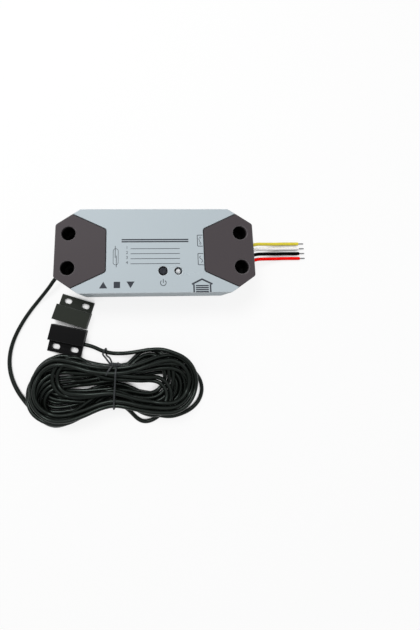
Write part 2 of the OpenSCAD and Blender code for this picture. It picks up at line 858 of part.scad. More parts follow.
function tube_faces(rings, sides) = concat(
    [for (j = [1:sides - 2]) [0, j + 1, j]],
    [for (i = [0:rings - 2], j = [0:sides - 1], half = [0, 1])
        let (a = i * sides + j, b = i * sides + (j + 1) % sides)
        half == 0 ? [a, b, b + sides] : [a, b + sides, a + sides]],
    [for (j = [1:sides - 2]) let (e = (rings - 1) * sides) [e, e + j, e + j + 1]]);

module tube(path, d, sides) {
    polyhedron(tube_points(path, d, sides), tube_faces(len(path), sides));
}

module lead(i) {
    tube([for (p = lead_route) [p[0], lead_ys[i] + p[1], p[2]]], lead_d, 8);
}

module yellow_lead() {
    color([0.87, 0.82, 0.36])
        lead(0);
}

module white_lead() {
    color([0.87, 0.87, 0.87])
        lead(1);
}

module black_lead() {
    color(black)
        lead(2);
}

module red_lead() {
    color([0.95, 0.12, 0.08])
        lead(3);
}

module lead_ends() {
    free_end = last(lead_route);
    color(metal)
        for (y = lead_ys)
            bar_x(conductor_d, free_end[0], free_end[0] + strip_l, y + free_end[1], free_end[2]);
}

module sensor_cores() {
    apart = core_d / 2 + bore_gap;
    color([0.85, 0.85, 0.85])
        for (i = signs) {
            entry = [-board_l / 2, sensor_mid_y + i * lead_pitch / 2, lead_z];
            tube(concat([for (p = core_route) p + [0, 0, i * apart]],
                [entry, entry + [entry_depth / 2, 0, 0]]), core_d, 6);
        }
}

module cord_start() {
    color(black)
        tube(start_route, cord_d, 8);
}

module cord_tail() {
    color(black)
        tube(tail_route, cord_d, 8);
}

// Hank of cord: n counts turns, 0 at the middle of the first bottom run
function smooth(t) = let (c = min(max(t, 0), 1)) c * c * (3 - 2 * c);
function hank_step(n) = n < 0 ? layer_turns - n
    : n > hank_turns ? layer_turns + n - hank_turns
    : abs(n % (2 * layer_turns) - layer_turns);
function hank_layer(n) = layers < 2 ? 0
    : [for (j = [1:layers - 1]) smooth((n - j * layer_turns) / climb_turns + 0.5)]
    * [for (j = [1:layers - 1]) 1];

// Extra reach of the loose outer loops, where the spiral reverses at the outside and at the end
function stray(n) = let (end = round(n / layer_turns))
    end % 2 == 0 && abs(n - end * layer_turns) < 0.5 && end > 0 ? stray_reach : 0;

// Extra reach of the first bottom run
function loose(n, x) = n < 1 ? loose_reach * exp(-pow((x - loose_x) / loose_l, 2)) : 0;

function hank_flat(n, layer) =
    let (f = n - floor(n), k = hank_step(n), r = loop_r + k * turn_step, w = waist_y + k * turn_step,
        low = f < run_share || f > 1 - run_share, top = abs(f - 0.5) < run_share,
        t = low ? (f > 0.5 ? f - 1 : f) / run_share : (0.5 - f) / run_share,
        right = low || top ? t > 0 : f < 0.5,
        loop_at = right ? [loop_x + lookup(layer, right_shift), lookup(layer, right_rise)]
            : [-loop_x - lookup(layer, left_shift), lookup(layer, left_rise)],
        draw = pow(sin(90 * t), 2), x = abs(t) * loop_at[0], run = w + (r - w) * draw,
        a = 180 * (f - (right ? 0 : 0.5) - run_share) / (0.5 - 2 * run_share) + (right ? -90 : 90))
    low ? [x, loop_at[1] * draw - run - loose(n, x)]
    : top ? [x, loop_at[1] * draw + run]
    : loop_at + [(r + stray(n)) * cos(a), r * sin(a)];

function hank_point(n) =
    let (layer = hank_layer(n), p = hank_flat(n, layer))
    [hank_at[0] + p[0], hank_at[1] + p[1],
        cord_d / 2 + floor_gap + layer * layer_step + tie_lift * exp(-pow(p[0] / lift_l, 2))];

// The tube runs straight for one diameter from what it meets at each end
function last(list, back = 1) = list[len(list) - back];
start_dir = unit(last(start_route) - last(start_route, 2));
tail_dir = unit(tail_route[1] - tail_route[0]);
hank_rings = floor((last_turn - first_turn) * rings_per_turn);
hank_path = concat(
    [last(start_route), last(start_route) + cord_d * start_dir],
    [for (i = [1:hank_rings]) hank_point(first_turn + i / rings_per_turn)],
    [tail_route[0] - cord_d * tail_dir, tail_route[0]]);

// Least gap between stretches of the hank that lie more than a third of a turn apart
function to_segment(p, a, b) = let (t = min(max((p - a) * (b - a) / ((b - a) * (b - a)), 0), 1))
    norm(p - a - t * (b - a));
function self_gap(path, skip) = min([for (i = [0:len(path) - 1])
    min(concat([1000], [for (j = [i + skip:1:len(path) - 2]) to_segment(path[i], path[j], path[j + 1])]))])
    - cord_d;
function path_length(path) = [for (i = [1:len(path) - 1]) norm(path[i] - path[i - 1])]
    * [for (i = [1:len(path) - 1]) 1];

module cord_hank() {
    echo(hank_self_gap_mm = self_gap(hank_path, rings_per_turn / 3));
    echo(hank_length_mm = path_length(hank_path));
    color(black)
        tube(hank_path, cord_d, 6);
}

// Wire tie: a ring round the waist, a twisted link, and a ring round the tail
module hank_tie() {
    edge = tie_d / 2 + tie_gap;
    slack = 0.3;
    far = waist_y + layer_turns * turn_step + cord_d / 2 + edge + slack;
    low_z = tie_d / 2;
    top_z = cord_d + floor_gap + (layers - 1) * layer_step + tie_lift + edge;
    x = hank_at[0];
    y0 = hank_at[1] - far;
    y1 = hank_at[1] + far - turn_step / 2;
    link_from = [x, y1, (low_z + top_z) / 2];
    link_to = tie_tail_at + [-0.5, -1.7, 1];
    $fn = 16;
    color([0.1, 0.1, 0.11])
        union() {
            for (z = [low_z, top_z])
                translate([x, y0 + tie_bend_r, z])
                    rotate([-90, 0, 0])
                        cylinder(d = tie_d, h = y1 - y0 - 2 * tie_bend_r);
            for (y = [y0, y1])
                translate([x, y, low_z + tie_bend_r])
                    cylinder(d = tie_d, h = top_z - low_z - 2 * tie_bend_r);
            for (c = [[y0 + tie_bend_r, low_z + tie_bend_r, 180], [y1 - tie_bend_r, low_z + tie_bend_r, 270],
                    [y1 - tie_bend_r, top_z - tie_bend_r, 0], [y0 + tie_bend_r, top_z - tie_bend_r, 90]])
                translate([x, c[0], c[1]])
                    rotate([90, 0, 90])
                        rotate(c[2])
                            rotate_extrude(angle = 90)
                                translate([tie_bend_r, 0])
                                    circle(d = tie_d);
            rod(link_from, link_to, link_d);
            translate(tie_tail_at)
                rotate([90, 0, tie_tail_turn])
                    rotate_extrude()
                        translate([cord_d / 2 + edge, 0])
                            circle(d = tie_d);
        }
}

// Sensor block with its flange towards +Y, its back on the surface, and a pocket from the back
module sensor_block() {
    difference() {
        union() {
            translate([-sensor_l / 2, body_y - sensor_d / 2, 0])
                cube([sensor_l, sensor_d, sensor_h]);
            translate([-flange_l / 2, flange_y - flange_d / 2 - eps, 0])
                cube([flange_l, flange_d + eps, flange_t]);
        }
        for (i = signs, j = signs)
            translate([i * slot_spacing / 2 + j * (slot_l - slot_w) / 2, flange_y, -over])
                cylinder(d = slot_w, h = flange_t + 2 * over);
        for (i = signs)
            translate([i * slot_spacing / 2 - (slot_l - slot_w) / 2, flange_y - slot_w / 2, -over])
                cube([slot_l - slot_w, slot_w, flange_t + 2 * over]);
        pocket_block(0, -over, pocket_h);
    }
}

// Block in a sensor's pocket, smaller by gap on every side
module pocket_block(gap, z0, z1) {
    translate([-pocket_l / 2 + gap, body_y - pocket_d / 2 + gap, z0])
        cube([pocket_l - 2 * gap, pocket_d - 2 * gap, z1 - z0]);
}

module at_reed() {
    translate(reed_at)
        rotate(reed_turn)
            children();
}

module at_magnet() {
    translate(magnet_at)
        rotate(magnet_turn)
            children();
}

module reed_case() {
    end = last(tail_route);
    before = last(tail_route, 2);
    color([0.09, 0.09, 0.09])
        difference() {
            at_reed()
                sensor_block();
            translate(end)
                rotate(atan2(end[1] - before[1], end[0] - before[0]))
                    bar_x(cord_d + 2 * bore_gap, -2 * cord_d, pocket_gap, 0, 0);
        }
}

module reed_capsule() {
    color([0.7, 0.85, 0.75, 0.6])
        at_reed()
            bar_x(capsule_d, -capsule_l / 2, capsule_l / 2, body_y, back_t + capsule_d / 2 + pocket_gap);
}

module reed_blades() {
    z = back_t + capsule_d / 2 + pocket_gap;
    color(metal)
        at_reed() {
            bar_x(blade_d, -capsule_l / 2 - blade_l, -capsule_l / 2, body_y, z);
            bar_x(blade_d, capsule_l / 2, capsule_l / 2 + blade_l, body_y, z);
        }
}

module reed_potting() {
    color([0.15, 0.15, 0.15])
        at_reed()
            pocket_block(pocket_gap, 0, back_t);
}

module magnet_case() {
    color([0.18, 0.2, 0.18])
        at_magnet()
            sensor_block();
}

module bar_magnet() {
    color([0.5, 0.5, 0.52])
        at_magnet()
            pocket_block(magnet_gap, back_t + pocket_gap, pocket_h - pocket_gap);
}

module magnet_back() {
    color([0.15, 0.16, 0.15])
        at_magnet()
            pocket_block(pocket_gap, 0, back_t);
}

base_shell();
face_cover();
left_end_cover();
right_end_cover();
case_screws();
circuit_board();
board_screws();
button_cap();
tact_switch();
tact_plunger();
indicator_lens();
lamp_legs();
lamp_spacer();
radio_board();
radio_shield();
relay();
power_inductor();
capacitors();
regulator_chip();
power_terminal();
output_terminal();
sensor_terminal();
terminal_screws();
lead_grommet();
yellow_lead();
white_lead();
black_lead();
red_lead();
lead_ends();
cord_grommet();
sensor_cores();
cord_start();
cord_hank();
cord_tail();
hank_tie();
reed_case();
reed_capsule();
reed_blades();
reed_potting();
magnet_case();
bar_magnet();
magnet_back();
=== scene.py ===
# %% [markdown]
# # Garage door controller
# This is a flat eight-sided radio box that opens and shuts a garage door. Four short leads come out of
# one end, and a long thin cord, tied up in a hank, runs from the other end to a door contact: a reed
# switch in a small block, with a magnet in a second block. The solid model gives every place and size.
# Here each piece gets its finish, and the soft or wound pieces get their real shapes.

# %% Load the solid model
import json
import math

import bmesh
import bpy
import numpy as np
from mathutils import Matrix, Vector


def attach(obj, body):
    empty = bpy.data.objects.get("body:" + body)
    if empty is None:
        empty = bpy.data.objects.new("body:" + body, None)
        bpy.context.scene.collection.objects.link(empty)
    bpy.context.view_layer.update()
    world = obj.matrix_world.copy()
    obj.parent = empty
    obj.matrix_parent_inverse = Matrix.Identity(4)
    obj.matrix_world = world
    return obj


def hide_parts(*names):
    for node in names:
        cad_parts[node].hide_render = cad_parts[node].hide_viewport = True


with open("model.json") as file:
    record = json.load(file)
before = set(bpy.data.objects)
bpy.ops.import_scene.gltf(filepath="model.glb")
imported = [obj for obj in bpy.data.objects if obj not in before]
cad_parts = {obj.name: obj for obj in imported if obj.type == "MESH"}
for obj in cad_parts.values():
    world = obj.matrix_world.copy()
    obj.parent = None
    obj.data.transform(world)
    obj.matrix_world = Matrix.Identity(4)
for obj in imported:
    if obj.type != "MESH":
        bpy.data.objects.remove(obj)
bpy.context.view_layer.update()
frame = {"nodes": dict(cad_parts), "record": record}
nodes = frame["nodes"]
MM = 0.001
scene = bpy.context.scene

# %% [markdown]
# ## Camera
# The photograph looks almost straight down from about a hand's length above the box, a little from the
# front. The place and direction were fitted to the corners of the box, so they are written as
# plain numbers. The picture was cut off centre, and the lens shift does the same.

# %% Camera
PHOTO_W, PHOTO_H = 420, 630
FOCAL_PX = 316.285
AXIS_PX = (158, 258)
CAMERA_AT = Vector((-5.93, -41.54, 216.57))
LOOK = Vector((0.0393, 0.1899, -0.981)).normalized()
UP = Vector((0.0067, 0.9817, 0.1903))


def link_object(name, data):
    made = bpy.data.objects.new(name, data)
    scene.collection.objects.link(made)
    return made


camera_data = bpy.data.cameras.new("photo_camera")
camera_data.sensor_width = 36
camera_data.lens = FOCAL_PX * camera_data.sensor_width / PHOTO_H
camera_data.shift_x = (PHOTO_W / 2 - AXIS_PX[0]) / PHOTO_H
camera_data.shift_y = (AXIS_PX[1] - PHOTO_H / 2) / PHOTO_H
camera_data.clip_start = 0.005
side = LOOK.cross(UP).normalized()
camera = link_object("photo_camera", camera_data)
camera.matrix_world = Matrix((side, side.cross(LOOK), -LOOK)).transposed().to_4x4()
camera.location = CAMERA_AT * MM
scene.camera = camera
print("lens", round(camera_data.lens, 2), "mm")

# %% [markdown]
# ## Finishes that are shared
# Moulded plastic is never one flat colour. It has a fine grain from the mould, slow changes of tone
# across a face, and edges that are paler, partly as wear and partly as a painted highlight. All the
# plastics use these, so they are one node group with its own values in each material. It reads Object
# coordinates, in metres, so the grain has a real size. The bevelled pieces carry an attribute for wear
# and painted light: above zero, on an edge, it makes the colour paler, and below zero, in a seam, it
# paints shade. A few short helpers come first, because building a node tree in code takes the same lines
# again and again.

# %% Helpers for node trees
def new_group(name, inputs, outputs, kind="ShaderNodeTree"):
    """Makes a node group, and returns it with the sockets that it is given and its result node."""
    group = bpy.data.node_groups.new(name, kind)
    for label, form, value in inputs:
        socket = group.interface.new_socket(label, in_out="INPUT", socket_type="NodeSocket" + form)
        if value is not None:
            socket.default_value = value
    for label, form in outputs:
        group.interface.new_socket(label, in_out="OUTPUT", socket_type="NodeSocket" + form)
    return group, group.nodes.new("NodeGroupInput").outputs, group.nodes.new("NodeGroupOutput")


def feed(tree, node, values):
    """Fills a node's inputs: a socket is linked, and any other value is set."""
    for socket, value in values.items():
        if isinstance(value, bpy.types.NodeSocket):
            tree.links.new(value, node.inputs[socket])
        else:
            node.inputs[socket].default_value = value


def add(tree, kind, values=None, **settings):
    node = tree.nodes.new(kind)
    for name, value in settings.items():
        setattr(node, name, value)
    feed(tree, node, values or {})
    return node


def out(tree, kind, values=None, **settings):
    return add(tree, kind, values, **settings).outputs[0]


def calc(tree, operation, a, b=0.0, clamp=False):
    return out(tree, "ShaderNodeMath", {0: a, 1: b}, operation=operation, use_clamp=clamp)


def mix_color(tree, factor, a, b):
    return add(tree, "ShaderNodeMix", {0: factor, 6: a, 7: b}, data_type="RGBA").outputs[2]


def scaled_color(tree, color, by):
    return out(tree, "ShaderNodeVectorMath", {0: color, "Scale": by}, operation="SCALE")


# %% Helpers for patterns
def object_place(tree):
    return add(tree, "ShaderNodeTexCoord").outputs["Object"]


def noise(tree, scale, detail=2.0, roughness=0.5):
    return out(tree, "ShaderNodeTexNoise", {
        "Vector": object_place(tree), "Scale": scale, "Detail": detail, "Roughness": roughness})


def varied(tree, base, pattern, spread):
    """The base value, moved up or down by the pattern, over the spread in all."""
    swing = calc(tree, "MULTIPLY", calc(tree, "SUBTRACT", pattern, 0.5), spread)
    return calc(tree, "ADD", base, swing)


# %% Node group for moulded plastic
FINISH = [("Color", "Color"), ("Roughness", "Float"), ("Height", "Float")]
# The seam round an end cover is darkened as painted shade; edges go towards a pale colour as wear and a
# painted highlight.
GRAIN_SHARE, DRIFT_SHARE, SEAM_SHADE_DEPTH = 0.6, 1.4, 0.65
PALE_WEAR_AND_HIGHLIGHT = (0.75, 0.76, 0.78, 1)
moulded, given, result = new_group("moulded_plastic", [
    ("Color", "Color", (0.5, 0.5, 0.5, 1)), ("Roughness", "Float", 0.5), ("Grain Scale", "Float", 1800.0),
    ("Tone Spread", "Float", 0.06), ("Wear And Highlight", "Float", 0.1)], FINISH)
grain = noise(moulded, given["Grain Scale"])
drift = noise(moulded, 38.0, 3.0, 0.6)
tone = calc(moulded, "ADD", calc(moulded, "MULTIPLY", grain, GRAIN_SHARE),
            calc(moulded, "MULTIPLY", drift, DRIFT_SHARE))
tone = calc(moulded, "MULTIPLY", calc(moulded, "SUBTRACT", tone, 1.0), given["Tone Spread"])
tone = calc(moulded, "ADD", tone, 1.0)
wear_and_shade_mark = add(moulded, "ShaderNodeAttribute", attribute_name="wear_and_painted_light").outputs["Fac"]
# Painted shade: a negative mark darkens the seam round an end cover.
seam_shade = calc(moulded, "MULTIPLY", wear_and_shade_mark, -SEAM_SHADE_DEPTH, clamp=True)
tone = calc(moulded, "MULTIPLY", tone, calc(moulded, "SUBTRACT", 1.0, seam_shade))
# Paler edges, partly wear and partly a painted highlight.
wear_and_painted_light = calc(moulded, "MULTIPLY", wear_and_shade_mark, given["Wear And Highlight"])
wear_and_painted_light = calc(moulded, "MULTIPLY", wear_and_painted_light, calc(moulded, "ADD", drift, 0.5))
toned = scaled_color(moulded, given["Color"], tone)
feed(moulded, result, {
    "Color": mix_color(moulded, wear_and_painted_light, toned, PALE_WEAR_AND_HIGHLIGHT), "Height": grain,
    "Roughness": varied(moulded, given["Roughness"], drift, 0.16)})
print("group", moulded.name, "with", len(moulded.nodes), "nodes")

# %% [markdown]
# The two end covers have deep screw wells, and hardly any light comes back from them. That shade is
# painted into the colour: a second small group finds the wells by their place, near one of the four axes,
# and paints them darker with each millimetre below the rim. The box is the same on both sides of its
# middle, so the absolute values of X and Y do for all four.

# %% Node group for the painted shade in the screw wells
WELL_AT, WELL_R, WELL_RIM_Z, WELL_FADE = (53, 10.7), 4.45, 27.6, 2.5
WELL_SHADE_COLOR = (0.001, 0.001, 0.001, 1)
well_shade_depth, given, result = new_group("well_shade_depth", [
    ("Axis X", "Float", WELL_AT[0] * MM), ("Axis Y", "Float", WELL_AT[1] * MM),
    ("Radius", "Float", WELL_R * MM), ("Rim", "Float", WELL_RIM_Z * MM),
    ("Fade", "Float", WELL_FADE * MM)], [("Dark", "Float")])
spot = add(well_shade_depth, "ShaderNodeSeparateXYZ", {0: object_place(well_shade_depth)}).outputs
across = {axis: calc(well_shade_depth, "SUBTRACT", calc(well_shade_depth, "ABSOLUTE", spot[axis]),
                     given["Axis " + axis]) for axis in "XY"}
away = add(well_shade_depth, "ShaderNodeVectorMath", {0: out(well_shade_depth, "ShaderNodeCombineXYZ", across)},
           operation="LENGTH").outputs["Value"]
within = calc(well_shade_depth, "LESS_THAN", away, given["Radius"])
# Painted shade: inside a well the colour goes towards black with depth below the rim.
below = calc(well_shade_depth, "SUBTRACT", given["Rim"], spot["Z"])
below = calc(well_shade_depth, "DIVIDE", below, given["Fade"], clamp=True)
feed(well_shade_depth, result, {"Dark": calc(well_shade_depth, "MULTIPLY", within, below)})
print("group", well_shade_depth.name, "with", len(well_shade_depth.nodes), "nodes")

# %% [markdown]
# A material is then short: a group gives the colour, the roughness and the relief, and what is the same
# all over, such as the specular level, is set on the shader itself. Colours are written as they look
# on a screen, 0 to 255, and turned into the linear values that a shader takes.

# %% Materials from a group
def new_material(name):
    material = bpy.data.materials.new(name)
    material.use_nodes = True
    return material, material.node_tree, material.node_tree.nodes["Principled BSDF"]


def linear(color):
    def one(c):
        c /= 255
        return c / 12.92 if c <= 0.04045 else ((c + 0.055) / 1.055) ** 2.4
    return (*(one(c) for c in color), 1.0)


def dressed(name, group, values, specular=0.5, bump=0.0, bump_depth=0.2):
    material, tree, shader = new_material(name)
    look = add(tree, "ShaderNodeGroup", values, node_tree=group).outputs
    feed(tree, shader, {
        "Base Color": look["Color"], "Roughness": look["Roughness"], "Specular IOR Level": specular})
    if bump:
        feed(tree, shader, {"Normal": out(tree, "ShaderNodeBump", {
            "Height": look["Height"], "Strength": bump, "Distance": bump_depth * MM})})
    return material, tree, shader


def plastic(name, color, roughness, grain, spread, wear_and_painted_light, bump, specular, shade_wells=False):
    material, tree, shader = dressed(name, moulded, {
        "Color": linear(color), "Roughness": roughness, "Grain Scale": grain, "Tone Spread": spread,
        "Wear And Highlight": wear_and_painted_light}, specular, bump)
    # Painted shade: the screw wells are mixed towards black, deeper down darker.
    if shade_wells:
        base = shader.inputs["Base Color"]
        well_shade = out(tree, "ShaderNodeGroup", node_tree=well_shade_depth)
        tree.links.new(mix_color(tree, well_shade, base.links[0].from_socket, WELL_SHADE_COLOR), base)
    return material


# %% Plastics and rubbers
# name, colour, roughness, grain scale, tone spread, pale edges as wear and a painted highlight, bump and
# specular level, and painted shade in the screw wells where asked
housing_grey = plastic("housing_grey_plastic", (183, 194, 200), 0.55, 2600, 0.04, 0.4, 0.05, 0.3, shade_wells=True)
cover_brown = plastic("cover_brown_plastic", (72, 66, 69), 0.6, 2600, 0.1, 0.14, 0.1, 0.22, shade_wells=True)
button_black = plastic("button_black_plastic", (40, 42, 49), 0.5, 2200, 0.08, 0.12, 0.05, 0.2)
shade_ring_black = plastic("button_ring_painted_shade", (10, 10, 11), 0.75, 1500, 0.1, 0.05, 0.08, 0.1)
reed_black = plastic("reed_black_plastic", (8, 8, 9), 0.5, 2200, 0.16, 0.06, 0.1, 0.1)
magnet_grey = plastic("magnet_grey_plastic", (42, 46, 40), 0.52, 2200, 0.16, 0.06, 0.1, 0.12)
print_ink = plastic("print_ink", (58, 62, 70), 0.6, 2600, 0.2, 0.0, 0.05, 0.2)
grommet_rubber = plastic("grommet_rubber", (24, 24, 25), 0.7, 1500, 0.1, 0.05, 0.1, 0.2)
chip_black = plastic("chip_black_epoxy", (30, 30, 32), 0.6, 3000, 0.1, 0.1, 0.15, 0.3)
terminal_green = plastic("terminal_green_plastic", (50, 122, 70), 0.5, 2000, 0.06, 0.15, 0.05, 0.4)
relay_blue = plastic("relay_blue_plastic", (38, 74, 137), 0.35, 2000, 0.05, 0.15, 0.03, 0.5)
ferrite_grey = plastic("ferrite_grey", (66, 66, 67), 0.75, 2400, 0.2, 0.2, 0.25, 0.3)
sleeve_navy = plastic("capacitor_sleeve", (38, 38, 56), 0.3, 1500, 0.05, 0.1, 0.02, 0.5)
potting_black = plastic("potting_resin", (28, 28, 28), 0.3, 500, 0.1, 0.05, 0.1, 0.5)
print("plastics:", len(bpy.data.materials))

# %% [markdown]
# ## Jackets of the cords and leads
# The jackets are smooth extruded plastic with a soft shine. What sets them apart from moulded pieces
# is a very slight waviness along the length, so the highlights break up a little. Another group
# gives that, and the cords and leads share it.

# %% Jacket group and materials
jacket, given, result = new_group("extruded_jacket", [
    ("Color", "Color", (0.01, 0.01, 0.01, 1)), ("Roughness", "Float", 0.35),
    ("Spread", "Float", 0.1)], FINISH)
wave = noise(jacket, 160.0)
scuff = noise(jacket, 900.0, 3.0, 0.65)
shade = varied(jacket, 1.0, wave, given["Spread"])
feed(jacket, result, {
    "Color": scaled_color(jacket, given["Color"], shade), "Height": wave,
    "Roughness": varied(jacket, given["Roughness"], scuff, 0.25)})


def jacketed(name, color, roughness, spread, specular, tint=(1, 1, 1, 1)):
    material, _, shader = dressed(name, jacket, {
        "Color": linear(color), "Roughness": roughness, "Spread": spread}, specular, 0.06, 0.3)
    shader.inputs["Specular Tint"].default_value = tint
    return material


cord_black = jacketed("sensor_cord_jacket", (9, 11, 9), 0.36, 0.3, 0.36, (0.84, 1, 0.92, 1))
tie_black = jacketed("tie_jacket", (52, 55, 57), 0.4, 0.2, 0.3)
lead_colors = {
    "yellow_lead": jacketed("yellow_insulation", (228, 212, 62), 0.4, 0.06, 0.25),
    "white_lead": jacketed("white_insulation", (252, 250, 249), 0.4, 0.04, 0.25),
    "black_lead": jacketed("black_insulation", (4, 3, 3), 0.4, 0.2, 0.03),
    "red_lead": jacketed("red_insulation", (255, 8, 3), 0.4, 0.06, 0.05),
}
print("jackets:", [cord_black.name, tie_black.name] + sorted(lead_colors))

# %% [markdown]
# ## The four hook-up leads
# Each lead leaves its terminal, goes straight through the rubber grommet in the end wall, and drops
# to the table in a long easy curve. A curve with a round bevel is the natural way to make it: the line
# is the real centreline, so its length can be measured. The route's points are those of the solid
# model, and a smooth curve is passed through them. Each new piece is attached to the body that it
# moves with, and the solid that it stands for is hidden.

# %% Round cords
def smooth_route(points, per_span):
    """A smooth line through the points, with the same number of steps from each to the next."""
    knots = [Vector(p) for p in points]
    knots = [2 * knots[0] - knots[1]] + knots + [2 * knots[-1] - knots[-2]]
    line = []
    for a, b, c, d in zip(knots, knots[1:], knots[2:], knots[3:]):
        for i in range(per_span):
            t = i / per_span
            line.append(0.5 * (2 * b + (c - a) * t + (2 * a - 5 * b + 4 * c - d) * t ** 2
                               + (3 * b - a - 3 * c + d) * t ** 3))
    return line + [knots[-2]]


def line_length(line):
    return sum((b - a).length for a, b in zip(line, line[1:]))


def round_cord(name, line, diameter, material):
    data = bpy.data.curves.new(name, "CURVE")
    data.dimensions = "3D"
    data.bevel_depth = diameter / 2 * MM
    data.bevel_resolution = 4
    data.use_fill_caps = True
    spline = data.splines.new("POLY")
    spline.points.add(len(line) - 1)
    for knot, p in zip(spline.points, line):
        knot.co = (p[0] * MM, p[1] * MM, p[2] * MM, 1)
    data.materials.append(material)
    return link_object(name, data)


def declare(piece, body, slot, *solids):
    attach(piece, body)
    if solids:
        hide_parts(*solids)


# %% Leads
LEAD_D = 2.3
LEAD_Y = {"yellow_lead": 6.05, "white_lead": 2.55, "black_lead": -0.95, "red_lead": -4.45}
# along the lead: x, how far it drifts to the back, and height
LEAD_ROUTE = [(43.5, 0, 8.6), (59, 0, 8.6), (63, 0, 8.6), (65.5, 0.5, 8.5), (68, 1.4, 8), (71, 2.1, 7.1),
              (75, 2.5, 5.6), (80, 2.9, 3.8), (85, 3.2, 2.4), (90, 3.5, 1.6), (95, 3.6, 1.2), (98, 3.6, 1.2),
              (102.4, 3.6, 1.2)]
leads = {}
for name, y in LEAD_Y.items():
    line = smooth_route([(x, y + drift_y, z) for x, drift_y, z in LEAD_ROUTE], 5)
    lead = round_cord(name.replace("_lead", "_hookup_lead"), line, LEAD_D, lead_colors[name])
    declare(lead, "housing", "lead_" + name.split("_")[0], name)
    leads[name] = (lead, line)
    print(lead.name, round(line_length(line), 1), "mm")

# %% [markdown]
# ## The sensor cord
# One thin two-core cord runs from the grommet in the left end, round the outside of the hank, through
# its sixteen turns, and back to the reed switch. A hank is wound over two hands and tied in the middle,
# so each turn has two end loops and a narrow waist, like a peanut. Its place and reach are those of the
# solid model, where the turns lie in neat layers with a gap. The real ones touch, and no two layers are
# quite in line, so here each layer has its own loops. The plan of the cord is drawn first, seen from
# above: the first stretch, the turns and the tail.

# %% Routes to and from the hank
CORD_D = 2.5
CORD_EXIT = Vector((-61, -12, 7))
ON_TABLE = CORD_D / 2 + 0.05
START_ROUTE = [CORD_EXIT + Vector(p) for p in (
    (2.6, 0, 0), (-1.3, 0, 0), (-3, -0.6, -0.2), (-4.7, -2.2, -0.8), (-6.2, -4.4, -1.6), (-8, -7, -2.7),
    (-10.5, -10, -4), (-13.3, -13, -5), (-16.3, -16.4, -5.6))] + [Vector((*p, ON_TABLE)) for p in (
        (-81, -33), (-84.6, -38.4), (-87.8, -44), (-90.6, -50), (-92.6, -56), (-93.6, -62), (-93.6, -68),
        (-92.4, -74), (-90, -80), (-86.4, -86), (-81.6, -91.8), (-76.4, -97), (-70.6, -100.8), (-64.6, -103),
        (-58.4, -103.9))]
TAIL_ROUTE = [Vector(p) for p in (
    (5, -60.5, ON_TABLE), (0, -60.5, ON_TABLE), (-5, -60.9, ON_TABLE), (-11, -61.8, ON_TABLE),
    (-16, -62.5, 1.5), (-21, -63, 1.8), (-26, -63, 2), (-30, -62.5, 2.6), (-34, -61.4, 2.9),
    (-37.6, -59.7, 2.9), (-41, -58.1, 3.1), (-44, -57.4, 3.1), (-48, -56.6, 3.1))]
print("points before and after the hank:", len(START_ROUTE), len(TAIL_ROUTE))

# %% Measures of the hank
HANK_AT = Vector((-25.5, -82.6))
# turn at which each layer ends, and how many steps out from the middle the cord is there
LAYER_ENDS, STEPS_OUT = (0, 4, 7, 10, 12, 14, 16), (4, 0, 3, 0, 2, 0, 2)
# end loops of each layer: middle x and y, radius of the innermost turn, and steps further out
LEFT_LOOPS = ((-36, 1, 8, 0), (-34, 6, 6, 0), (-35, -9, 8, 0),
              (-35, -4, 6, 2), (-27, 6, 7, 0.5), (-34, 0, 7.5, 2))
RIGHT_LOOPS = ((31, 3, 6.5, 0), (31, -1, 7.5, 0), (21, 6, 8.5, 0),
               (34, -3, 7.5, 2), (24, -5, 5, 0.5), (34, 3, 6.5, 2))
# one step out at the loops, and the shares of a turn for half a run, for a climb and for the last draw-in
TURN_STEP, RUN_SHARE, CLIMB_SHARE, LAST_SHARE = 2.7, 0.1, 0.2, 0.3
LAST_DRAW = 1.2
# one step out at the waist, where it starts, and how far back and how high the tie pulls the runs
WAIST_STEP, WAIST_Y = 2.64, 1.35
PULL_BACK, PULL_WIDE, LIFT, LIFT_WIDE = 2.6, 15, 1.1, 9
# one turn strays out at its ends, and the first run bulges to the front
STRAY_TURN, STRAY_RIGHT, STRAY_LEFT = 11, 5.2, 3.6
BULGE, BULGE_X, BULGE_WIDE, BULGE_UNTIL = 10, 18, 10.5, 0.25
print("turns in the hank:", LAYER_ENDS[-1], "in", len(LEFT_LOOPS), "layers")


# %% Plan of the sensor cord
def ease(t):
    t = min(max(t, 0), 1)
    return t * t * (3 - 2 * t)


def swell(x, wide):
    return math.exp(-(x / wide) ** 2)


